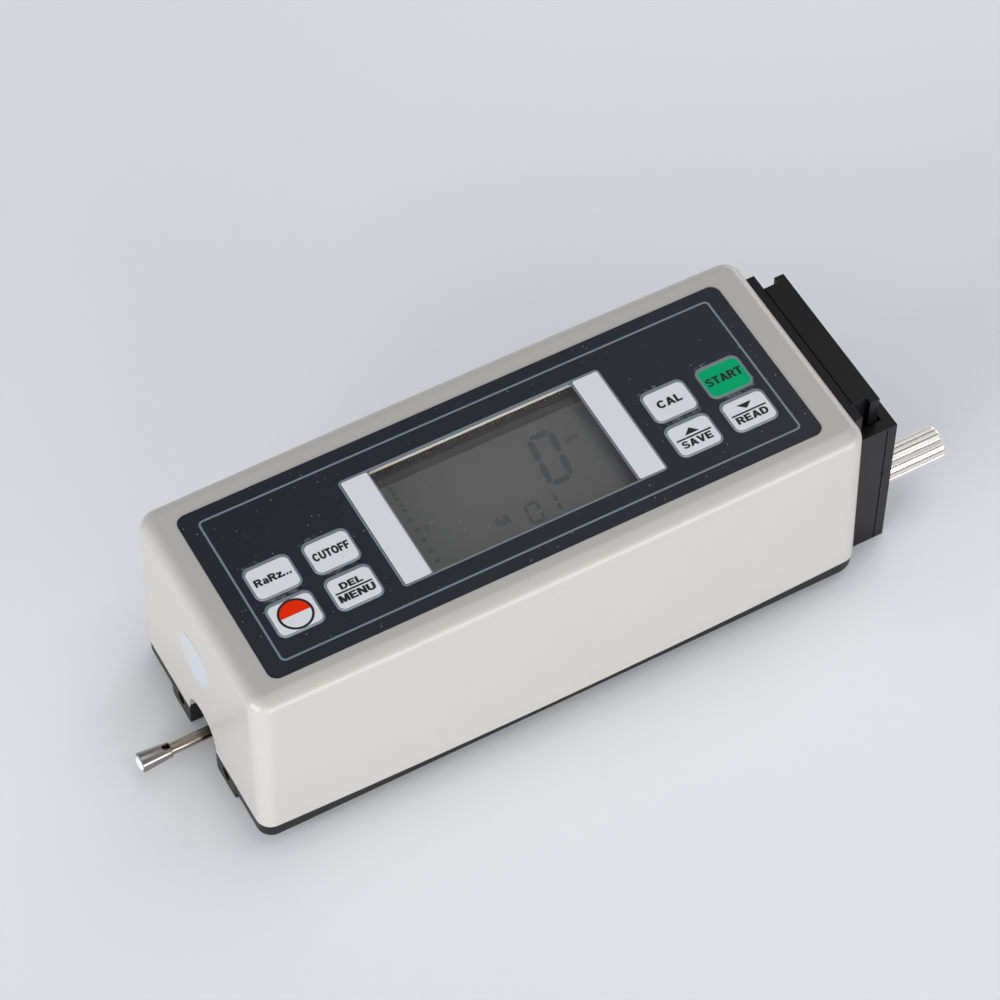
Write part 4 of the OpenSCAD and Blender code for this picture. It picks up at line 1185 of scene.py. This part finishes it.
class TESTER_OT_keys(TesterPart, bpy.types.Operator):
    """Make the eight keys with their lettering"""

    bl_idname = "tester.keys"
    bl_label = "Keys"

    FACE, LINE, INK, RED, WHITE = range(5)
    CAP_L, CAP_W, CAP_R, CAP_PROUD, CAP_EDGE = 9.92, 8.42, 1.62, 0.15, 0.06
    PRINTED, PRINTED_Y = (9.32, 7.42, 1.3), -0.22
    LIP, LIP_T, LIP_DROP = (10.95, 9.45, 2.0), 0.8, 0.85
    POST_R, POST_L = 2.0, 0.8
    INK_T, INK_WEIGHT = 0.02, 0.05
    RULE_Y, RULE_L, RULE_W = -0.07, 8.0, 0.38
    WEDGE_Y = 1.35
    DOT_X, DOT_Y, DOT_R = (2.35, 3.05, 3.75), -0.66, 0.26
    SIGN_X, SIGN_Y, SIGN_R, SIGN_IN_R, SIGN_FILL_R = 0.12, -0.2, 3.72, 3.2, 3.3
    # what is printed on each key, in order; a word has its place from the key's middle, width and height
    LEGENDS = {
        "key_parameter": (("word", "RaRz", -0.9, 0.0, 5.9, 1.7), ("dots",)),
        "key_cutoff": (("word", "CUTOFF", 0.0, 0.0, 7.9, 1.9),),
        "key_power": (("power_sign",),),
        "key_menu": (("word", "DEL", 0.0, 1.3, 4.8, 1.5), ("rule",), ("word", "MENU", 0.0, -1.5, 7.8, 1.7)),
        "key_calibrate": (("word", "CAL", 0.0, 0.0, 5.5, 1.9),),
        "key_start": (("word", "START", 0.0, 0.0, 8.3, 1.95),),
        "key_up": (("wedge_up", 3.3, 1.5), ("rule",), ("word", "SAVE", 0.0, -1.5, 6.8, 1.7)),
        "key_down": (("wedge_down", 3.4, 1.4), ("rule",), ("word", "READ", 0.0, -1.5, 7.2, 1.7)),
    }

    def execute(self, context):
        for name, (x, y) in KEYS.items():
            self.key(name, x, y)
        return {"FINISHED"}

    def key(self, name, x, y):
        top = Z_FILM + self.CAP_PROUD
        lip = Z_CEILING - self.LIP_DROP
        foot = lip + self.LIP_T
        bm = bmesh.new()
        slab(bm, rounded(x, y, *self.LIP), lip, foot, self.FACE)
        slab(bm, circle(x, y, self.POST_R, 32), lip - self.POST_L, lip, self.FACE)
        e = self.CAP_EDGE
        layers = []
        for inset, z in ((0.0, foot), (0.0, top - e), (e / 3, top - e / 3), (e, top)):
            outline = rounded(x, y, self.CAP_L - 2 * inset, self.CAP_W - 2 * inset, self.CAP_R - inset)
            layers.append((outline, z))
        layers.append((rounded(x, y + self.PRINTED_Y, *self.PRINTED), top))
        stack(bm, layers, self.LINE, top_mat=self.FACE)
        for face in bm.faces:
            if face.material_index == self.LINE and min(v.co.z for v in face.verts) < (top - e - 0.01) * MM:
                face.material_index = self.FACE
        for kind, *values in self.LEGENDS[name]:
            getattr(self, kind)(bm, x, y, top, *values)
        look, slot = ("green_print", "key_green") if name == "key_start" else ("white_print", "key_white")
        finishes = [look, "line_print", "ink_print", "red_print", "white_print"]
        piece(bm, name + "_cap", name, finishes, (name,))

    def word(self, bm, x, y, z, text, dx, dy, wide, tall):
        lettering(bm, text, (x + dx, y + dy), wide, tall, z, self.INK, self.INK_WEIGHT)

    def rule(self, bm, x, y, z):
        long, wide = self.RULE_L / 2, self.RULE_W / 2
        y += self.RULE_Y
        box(bm, (x - long, x + long), (y - wide, y + wide), (z, z + self.INK_T), self.INK)

    def dots(self, bm, x, y, z):
        for dx in self.DOT_X:
            slab(bm, circle(x + dx, y + self.DOT_Y, self.DOT_R, 16), z, z + self.INK_T, self.INK)

    def wedge_up(self, bm, x, y, z, wide, tall):
        y += self.WEDGE_Y
        points = [(x - wide / 2, y - tall / 2), (x + wide / 2, y - tall / 2), (x, y + tall / 2)]
        slab(bm, points, z, z + self.INK_T, self.INK)

    def wedge_down(self, bm, x, y, z, wide, tall):
        y += self.WEDGE_Y
        points = [(x, y - tall / 2), (x + wide / 2, y + tall / 2), (x - wide / 2, y + tall / 2)]
        slab(bm, points, z, z + self.INK_T, self.INK)

    def power_sign(self, bm, x, y, z):
        """Ring with a red upper half."""
        x, y = x + self.SIGN_X, y + self.SIGN_Y
        band(bm, circle(x, y, self.SIGN_R), circle(x, y, self.SIGN_IN_R), z, z + 0.022, self.INK)
        half = circle(x, y, self.SIGN_FILL_R)[:25]
        slab(bm, half, z, z + 0.016, self.RED)
        slab(bm, [(2 * x - px, 2 * y - py) for px, py in half], z, z + 0.014, self.WHITE)


class TESTER_OT_display(TesterPart, bpy.types.Operator):
    """Make the display glass with its marks, its pins and the clear window"""

    bl_idname = "tester.display"
    bl_label = "Display"

    EDGE, FIELD, MARK, SIDE, LEDGE = range(5)
    # how far the display lies beyond its place in the window, seen along the camera's line
    SHIFT_X, SHIFT_Y = 1.05, 1.95 + FILM_Y
    GLASS_T, GLASS_EDGE, GLASS_STEP = 1.3, 0.1, 3.15
    SHEET_T, SHEET_GAP, SHEET_R = 0.05, 0.8, 0.3
    # right and far ends of the sheet as seen in the window
    SHEET_X, SHEET_Y = 20.4, 8.75
    SIDE_X, SIDE_GAP, SIDE_T = 20.42, 0.3, 0.03
    MARK_T, LEAN = 0.01, 0.12
    # each figure: its segments, its box and the width of a segment
    DIGITS = (
        ("abcdef", 7.5, 13.7, -7.67, 5.75, 1.45),
        ("abcdef", -0.55, 2.8, -14.1, -8.7, 0.72),
        ("bc", 3.6, 6.9, -13.9, -8.9, 0.78),
    )
    WORDS = (("M", -5.45, -10.15, 3.0, 2.3), ("um", 16.75, 1.6, 2.9, 1.7), ("O", -19.5, -4.25, 1.1, 1.5))
    TICK_X, TICK_HALF = (-21.95, -20.95), 0.4
    TICK_Y = (7.8, 6.4, 4.9, 3.25, 1.6, -0.9, -3.8, -6.75, -9.7, -12.4)
    COMB_GAP, PIN_HALF = 4.0, 0.17

    def execute(self, context):
        paint("display_window", "window")
        (x0, x1), (y0, y1), _ = reach("lcd_panel")
        mid, face = Z_LCD - self.GLASS_T, Z_LCD - self.SHEET_T
        bm = bmesh.new()
        # the lower pane takes a lighter finish than the bare glass above it: painted light against the shade
        # of the case lid
        self.glass(bm, (x0, x1), (y0, y1), (Z_LCD - 2 * self.GLASS_T, mid), self.LEDGE)
        self.glass(bm, (x0, x1), (y0, y1 - self.GLASS_STEP), (mid, face), self.EDGE)
        left, low = x0 + self.SHEET_GAP, y0 + self.SHEET_GAP
        right, high = self.SHEET_X + self.SHIFT_X, self.SHEET_Y + self.SHIFT_Y
        sheet = rounded((left + right) / 2, (low + high) / 2, right - left, high - low, self.SHEET_R, 3)
        slab(bm, sheet, face, Z_LCD, self.FIELD)
        # a lighter sheet on the glass edge right of the field: painted light against the window wall's shade
        side = (self.SIDE_X + self.SHIFT_X, x1 - self.SIDE_GAP)
        box(bm, side, (low, high), (face, face + self.SIDE_T), self.SIDE)
        self.marks(bm)
        finishes = ["lcd_edge", "lcd_field", "lcd_mark", "lcd_side", "lcd_ledge"]
        piece(bm, "lcd_glass", "root", finishes, ("lcd_panel",))
        self.pins(y1)
        paint("lcd_holder", "white_plastic")
        return {"FINISHED"}

    def glass(self, bm, x, y, z, mat):
        """Pane with broken edges."""
        e = self.GLASS_EDGE
        whole = bar(x[0], y[0], x[1], y[1])
        less = bar(x[0] + e, y[0] + e, x[1] - e, y[1] - e)
        stack(bm, [(less, z[0]), (whole, z[0] + e), (whole, z[1] - e), (less, z[1])], mat)

    def mark(self, bm, points):
        """One dark segment, from points as seen in the window."""
        moved = [(px + self.SHIFT_X, py + self.SHIFT_Y) for px, py in points]
        slab(bm, moved, Z_LCD, Z_LCD + self.MARK_T, self.MARK)

    def digit(self, bm, strokes, x0, x1, y0, y1, thick):
        """Seven-segment figure in a box, leaning to the right."""
        half, gap, mid = thick / 2, thick * 0.16, (y0 + y1) / 2
        low, high, left, right = y0 + half, y1 - half, x0 + half, x1 - half
        across = {"a": high, "g": mid, "d": low}
        upright = {"f": (left, mid, high), "b": (right, mid, high)}
        upright.update({"e": (left, low, mid), "c": (right, low, mid)})
        for key in strokes:
            if key in across:
                y, ax, bx = across[key], left + gap, right - gap
                lower = [(ax + half, y - half), (bx - half, y - half)]
                upper = [(bx - half, y + half), (ax + half, y + half)]
                points = [(ax, y), *lower, (bx, y), *upper]
            else:
                x, ay, by = upright[key]
                ay, by = ay + gap, by - gap
                outer = [(x + half, ay + half), (x + half, by - half)]
                inner = [(x - half, by - half), (x - half, ay + half)]
                points = [(x, ay), *outer, (x, by), *inner]
            self.mark(bm, [(px + self.LEAN * (py - mid), py) for px, py in points])

    def marks(self, bm):
        for values in self.DIGITS:
            self.digit(bm, *values)
        for text, cx, cy, wide, tall in self.WORDS:
            lettering(bm, text, (cx + self.SHIFT_X, cy + self.SHIFT_Y), wide, tall, Z_LCD, self.MARK)
        for y in self.TICK_Y:
            self.mark(bm, bar(self.TICK_X[0], y - self.TICK_HALF, self.TICK_X[1], y + self.TICK_HALF))

    def pins(self, edge):
        """Comb of bent contact pins along the far edge of the glass."""
        pins = sizes().pin_count
        pitch = (extent("lcd_panel")[0] - self.COMB_GAP) / (pins - 1)
        first = -(pins - 1) / 2 * pitch
        low, top = reach("lcd_pins")[2][0], Z_LCD - self.GLASS_T
        back = [(edge + 0.02, low), (edge + 0.38, low), (edge + 0.38, top + 0.28), (edge + 0.26, top + 0.4)]
        hook = [(edge - 1.35, top + 0.4), (edge - 1.5, top + 0.3)]
        hook += [(edge - 1.5, top + 0.01), (edge + 0.02, top + 0.01)]
        bm = bmesh.new()
        loft(bm, [ring_x(bm, back + hook, first + side) for side in (-self.PIN_HALF, self.PIN_HALF)])
        comb = blank("lcd_comb", bm)
        values = {"Count": pins, "Pitch": (pitch * MM, 0.0, 0.0), "Material": finish("pin_metal")}
        dress(grown(comb, row_tree(), values), "root", ["pin_metal"], ("lcd_pins",), even=False)


class TESTER_OT_base(TesterPart, bpy.types.Operator):
    """Finish the base plate and its countersunk screws"""

    bl_idname = "tester.base"
    bl_label = "Base plate"

    PLATE_EDGE = 0.28
    STRETCH_FROM = 67.4
    HEAD_R, HEAD_T, HEAD_EDGE = 2.25, 1.4, 0.06
    SHANK_R, TIP_R, TIP_L = 1.25, 0.95, 0.35
    RECESS = ((cross(1.25, 0.27), -0.1), (cross(1.25, 0.27), 0.12), (cross(0.7, 0.2), 1.0))
    LIP_X, LIP_Y, LIP_Z = (-69.85, -67.4), (5.95, 6.12), (-0.3, 1.15)

    def execute(self, context):
        plate = softened("base_plate", self.PLATE_EDGE * MM, "black_metal")
        start, end = at(self.STRETCH_FROM, 0, 0).x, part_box("base_plate")[1].x
        for v in plate.data.vertices:
            v.co.x += max(v.co.x - start, 0.0) / (end - start) * REAR_MORE * MM
        self.arch_lips()
        edge = self.HEAD_EDGE
        head = [(self.HEAD_R - edge, 0.0), (self.HEAD_R, edge), (self.SHANK_R, self.HEAD_T)]
        for name in ("base_screws", "frame_screws", "bracket_screws"):
            low, high = reach(name)[2]
            long = high - low
            shank = [(self.SHANK_R, long - self.TIP_L), (self.TIP_R, long)]
            screw_set(name, head + shank, self.RECESS, self.HEAD_R)
        return {"FINISHED"}

    def arch_lips(self):
        """Raised lips of the front lugs, on both sides of the arch."""
        bm = bmesh.new()
        z = [Z_SEAM + rise for rise in self.LIP_Z]
        for side in (-1, 1):
            box(bm, self.LIP_X, sorted(side * y for y in self.LIP_Y), z)
        piece(bm, "base_arch_lips", "root", ["black_metal"], (), even=False)


class TESTER_OT_pickup(TesterPart, bpy.types.Operator):
    """Turn the pickup's head, plug and stem"""

    bl_idname = "tester.pickup"
    bl_label = "Pickup"

    AXIS_Z = middle("pickup_stem")[2]
    STEM_R, STEM_BORE_R, STEM_EDGE = 1.3, 0.9, 0.1
    HEAD_BORE_R, PLUG_SEAT_R, PLUG_SEAT_L = 1.62, 1.84, 0.5
    DOME_R, DOME_H, PLUG_R, PLUG_L = 1.64, 0.6, 1.6, 0.8
    SLOT_HALF, SLOT_L = 0.68, 1.15
    STYLUS_HOLE_R, STYLUS_HOLE_X = 0.65, 1.6
    STEPS = 64

    def execute(self, context):
        z, steps = self.AXIS_Z, self.STEPS
        x0, x1 = reach("pickup_head")[0]
        seat, end = reach("pickup_stem")[0]
        bore, cup = self.HEAD_BORE_R, x0 + self.PLUG_SEAT_L
        front = [(cup, bore), (cup, self.PLUG_SEAT_R), (x0, self.PLUG_SEAT_R), (x0, 2.02), (x0 + 0.06, 2.13)]
        taper = [(x0 + 0.18, 2.17), (x1 - 0.14, 1.67), (x1 - 0.04, 1.6), (x1, 1.52)]
        bm = bmesh.new()
        inside = [(x1, self.STEM_R), (seat, self.STEM_R), (seat, bore)]
        turned(bm, front + taper + inside, 0, z, steps, loop=True)
        cutters = (self.slot_cutter(x1, 1.0), self.stylus_cutter(x0 + self.STYLUS_HOLE_X))
        self.steel_piece("pickup_head_turned", bm, cutters, "pickup_head", "steel")
        bm = bmesh.new()
        angles = [math.radians(a) for a in range(0, 91, 9)]
        dome = [(x0 - self.DOME_H * math.cos(a), self.DOME_R * math.sin(a)) for a in angles]
        back = x0 + self.PLUG_L
        turned(bm, dome + [(x0 + 0.1, self.PLUG_R), (back, self.PLUG_R), (back, 0.0)], 0, z, steps)
        piece(bm, "pickup_plug_domed", "pickup", ["white_plastic"], ("pickup_plug",))
        bm = bmesh.new()
        edge, hole = self.STEM_EDGE, self.STEM_BORE_R
        outside = [(seat, self.STEM_R), (end - edge, self.STEM_R), (end, self.STEM_R - edge)]
        turned(bm, [(seat, hole), *outside, (end, hole)], 0, z, steps, loop=True)
        self.steel_piece("pickup_stem_turned", bm, (self.slot_cutter(x1, 0.0),), "pickup_stem", "stem_steel")
        return {"FINISHED"}

    def steel_piece(self, name, bm, cutters, replaces, look):
        """Cut a turned steel piece and put it on the pickup."""
        dress(carved(blank(name, bm), *cutters), "pickup", [look], (replaces,))

    def slot_cutter(self, end, past):
        """Round-ended slot in the top of the head's rear end."""
        bm = bmesh.new()
        r = self.SLOT_HALF
        points = [(end + past, -r), (end + past, r)]
        for a in range(90, 271, 15):
            points.append((end - self.SLOT_L + r * math.cos(math.radians(a)), r * math.sin(math.radians(a))))
        slab(bm, points, self.AXIS_Z, self.AXIS_Z + 4)
        return bm

    def stylus_cutter(self, x):
        bm = bmesh.new()
        slab(bm, circle(x, 0, self.STYLUS_HOLE_R, 24), self.AXIS_Z - 4, self.AXIS_Z)
        return bm


class TESTER_OT_rear_support(TesterPart, bpy.types.Operator):
    """Finish the rail, the sliding block and its back plate"""

    bl_idname = "tester.rear_support"
    bl_label = "Rear support"

    SEAM_X, SEAM_Y, SEAM_T = (72.36, 72.64), (-17.3, 17.3), 0.012
    JOINT_HALF, JOINT_END = 0.13, 0.3
    JOINT_Y = (-0.012, 0.05)
    DOWEL_R, DOWEL_HEIGHT = 0.53, 0.6
    DOWEL_Y = (0.7, 0.06)
    HEAD_R, HEAD_T, HEAD_EDGE, SHANK_R, TIP_R, TIP_L = 1.1, 1.0, 0.08, 0.7, 0.5, 0.2
    SLOT_L, SLOT_HALF, SLOT_DEEP = 1.3, 0.17, 0.45

    def execute(self, context):
        for name in ("rail_bracket", "slide_block", "slide_back_plate"):
            softened(name, sizes().metal_edge, "anodised")
        bm = bmesh.new()
        top = reach("rail_bracket")[2][1]
        box(bm, self.SEAM_X, self.SEAM_Y, (top, top + self.SEAM_T))
        piece(bm, "rail_seam", "root", ["joint_gap"], even=False)
        self.joint_line()
        self.screws()
        return {"FINISHED"}

    def screws(self):
        """Slotted screws in the corners of the back plate."""
        low, high = reach("slide_screws")[0]
        long = high - low
        edge = self.HEAD_EDGE
        head = [(self.HEAD_R - edge, 0.0), (self.HEAD_R, edge), (self.HEAD_R, self.HEAD_T)]
        shank = [(self.SHANK_R, self.HEAD_T), (self.SHANK_R, long - self.TIP_L), (self.TIP_R, long)]
        slot = bar(-self.SLOT_L, -self.SLOT_HALF, self.SLOT_L, self.SLOT_HALF)
        recess = [(slot, -0.1), (slot, self.SLOT_DEEP)]
        screw_set("slide_screws", head + shank, recess, self.HEAD_R, (0.0, -math.pi / 2, 0.0))

    def joint_line(self):
        """Dark joint of the back plate on the near face and the dowel that sits across it."""
        (_, x), (y, _), (_, top) = reach("slide_block")
        bm = bmesh.new()
        sides = [y + out for out in self.JOINT_Y]
        box(bm, (x - self.JOINT_HALF, x + self.JOINT_HALF), sides, (self.JOINT_END, top - self.JOINT_END))
        outline = circle(x, self.DOWEL_HEIGHT * top, self.DOWEL_R, 24)
        loft(bm, [ring_y(bm, outline, y + deep) for deep in self.DOWEL_Y], 1)
        piece(bm, "slide_joint_line", "slide", ["joint_gap", "anodised"], even=False)


class TESTER_OT_knob(TesterPart, bpy.types.Operator):
    """Build the clamp knob from a core and a wheel of lands"""

    bl_idname = "tester.knob"
    bl_label = "Clamp knob"

    GRIP_L, GRIP_MORE = 15.4, 0.25
    NECK_R, NECK_EDGE = 2.0, 0.3
    COLLAR_R, COLLAR_T, COLLAR_EDGE = 2.8, 1.4, 0.1
    END_R = 0.7
    # depths below the tops of the lands: core, its chamfer, and the floor of the flutes, which is darkened as
    # painted shade
    CORE_DEEP, CHAMFER_DEEP, FLUTE_DEEP, FLUTE_IN = 0.45, 0.75, 0.34, 0.6
    LAND_SHARE, LAND_FLAT, LAND_EDGE, LAND_DEEP = 0.85, 0.72, 0.1, 0.75
    STEPS = 72

    def execute(self, context):
        lo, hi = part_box("clamp_knob")
        y, z = (lo.y + hi.y) / 2 / MM, (lo.z + hi.z) / 2 / MM
        radius = (hi.z - lo.z) / 2 / MM + self.GRIP_MORE
        x0, x1 = reach("clamp_knob")[0]
        grip = x1 - self.GRIP_L
        bm = bmesh.new()
        turned(bm, self.core(x0, x1, grip, radius), y, z, self.STEPS)
        # the floor of the flutes gets the darker finish, as painted shade between the lands
        start, stop = grip + 0.35, x1 - 0.75
        low, high = radius - self.FLUTE_IN, radius - self.FLUTE_DEEP
        turned(bm, [(start, low), (start, high), (stop, high), (stop, low)], y, z, self.STEPS, 1, loop=True)
        piece(bm, "clamp_knob_core", "knob", ["nickel", "dark_steel"], ("clamp_knob",))
        lands = blank("clamp_knob_lands", self.land(x1, grip, radius))
        values = {"Count": sizes().knob_lands, "Centre": at(0, y, z), "Material": finish("nickel")}
        dress(grown(lands, wheel_tree(), values), "knob", ["nickel"], ())
        return {"FINISHED"}

    def core(self, x0, x1, grip, radius):
        """Profile of the neck, the collar and the grip with its rounded end."""
        neck, collar, start = self.NECK_R, self.COLLAR_R, grip - self.COLLAR_T
        profile = [(x0, 0.0), (x0, neck - self.NECK_EDGE), (x0 + self.NECK_EDGE, neck), (start, neck)]
        profile += [(start, collar - self.COLLAR_EDGE), (start + self.COLLAR_EDGE, collar), (grip, collar)]
        chamfer = self.CHAMFER_DEEP - self.CORE_DEEP
        profile += [(grip, radius - self.CHAMFER_DEEP), (grip + chamfer, radius - self.CORE_DEEP)]
        x, r = x1 - self.END_R, radius - self.CORE_DEEP - self.END_R
        for a in range(0, 91, 15):
            a = math.radians(a)
            profile.append((x + self.END_R * math.sin(a), r + self.END_R * math.cos(a)))
        return profile + [(x1, 0.0)]

    def land(self, x1, grip, radius):
        """One ridge of the grip, about the knob's axis, with rounded ends."""
        half = math.radians(180 / sizes().knob_lands * self.LAND_SHARE)
        front = [(grip, 0.62), (grip + 0.15, 0.3), (grip + 0.45, 0.08), (grip + 0.8, 0.0)]
        rear = [(x1 - 0.9, 0.0), (x1 - 0.55, 0.07), (x1 - 0.22, 0.27), (x1 - 0.02, 0.62)]
        bm = bmesh.new()
        rings = []
        for x, drop in front + rear:
            top = radius - drop
            root = radius - self.LAND_DEEP - (self.LAND_EDGE if drop > 0.5 else 0.0)
            side = [(root, half), (top - self.LAND_EDGE, half), (top, half * self.LAND_FLAT)]
            points = side + [(top, 0.0)] + [(r, -a) for r, a in side[::-1]]
            spots = [Vector((x, r * math.sin(a), r * math.cos(a))) * MM for r, a in points]
            rings.append([bm.verts.new(spot) for spot in spots])
        loft(bm, rings)
        bmesh.ops.recalc_face_normals(bm, faces=bm.faces)
        return bm


class TESTER_OT_inside(TesterPart, bpy.types.Operator):
    """Finish the pieces inside the case"""

    bl_idname = "tester.inside"
    bl_label = "Inside"

    LOOKS = {
        "board": "main_board",
        "black_plastic": "key_switches sensor_socket",
        "battery_wrap": "battery_pack",
        "aluminium": "drive_frame motor_bracket shaft_coupling",
        "brass": "drive_carriage",
        "nickel": "pickup_connector lead_screw",
        "steel": "board_screws charging_socket guide_rods front_bearing rear_bearing motor_shaft "
        "drive_motor pivot_pin stylus_pivot stylus_arm rail_screws",
    }

    def execute(self, context):
        for look, names in self.LOOKS.items():
            for name in names.split():
                paint(name, look)
        return {"FINISHED"}


class TESTER_PT_panel(bpy.types.Panel):
    """Lists the tester's pieces, sizes and colours"""

    bl_label = "Roughness tester"
    bl_space_type = "VIEW_3D"
    bl_region_type = "UI"
    bl_category = "Tester"

    def draw(self, context):
        layout = self.layout
        for op in OPERATORS:
            layout.operator(op.bl_idname)
        for group in (context.scene.tester_sizes, context.scene.tester_colours):
            for name in group.__annotations__:
                layout.prop(group, name)


OPERATORS = (
    TESTER_OT_stage,
    TESTER_OT_case,
    TESTER_OT_film,
    TESTER_OT_wear,
    TESTER_OT_keys,
    TESTER_OT_display,
    TESTER_OT_base,
    TESTER_OT_pickup,
    TESTER_OT_rear_support,
    TESTER_OT_knob,
    TESTER_OT_inside,
)
CLASSES = (TesterSizes, TesterColours, *OPERATORS, TESTER_PT_panel)


def register():
    for cls in CLASSES:
        bpy.utils.register_class(cls)
    bpy.types.Scene.tester_sizes = PointerProperty(type=TesterSizes)
    bpy.types.Scene.tester_colours = PointerProperty(type=TesterColours)


def unregister():
    del bpy.types.Scene.tester_colours
    del bpy.types.Scene.tester_sizes
    for cls in reversed(CLASSES):
        bpy.utils.unregister_class(cls)


def main():
    register()
    for op in OPERATORS:
        getattr(bpy.ops.tester, op.bl_idname.split(".")[1])()
    bpy.context.view_layer.update()


if __name__ == "__main__":
    main()
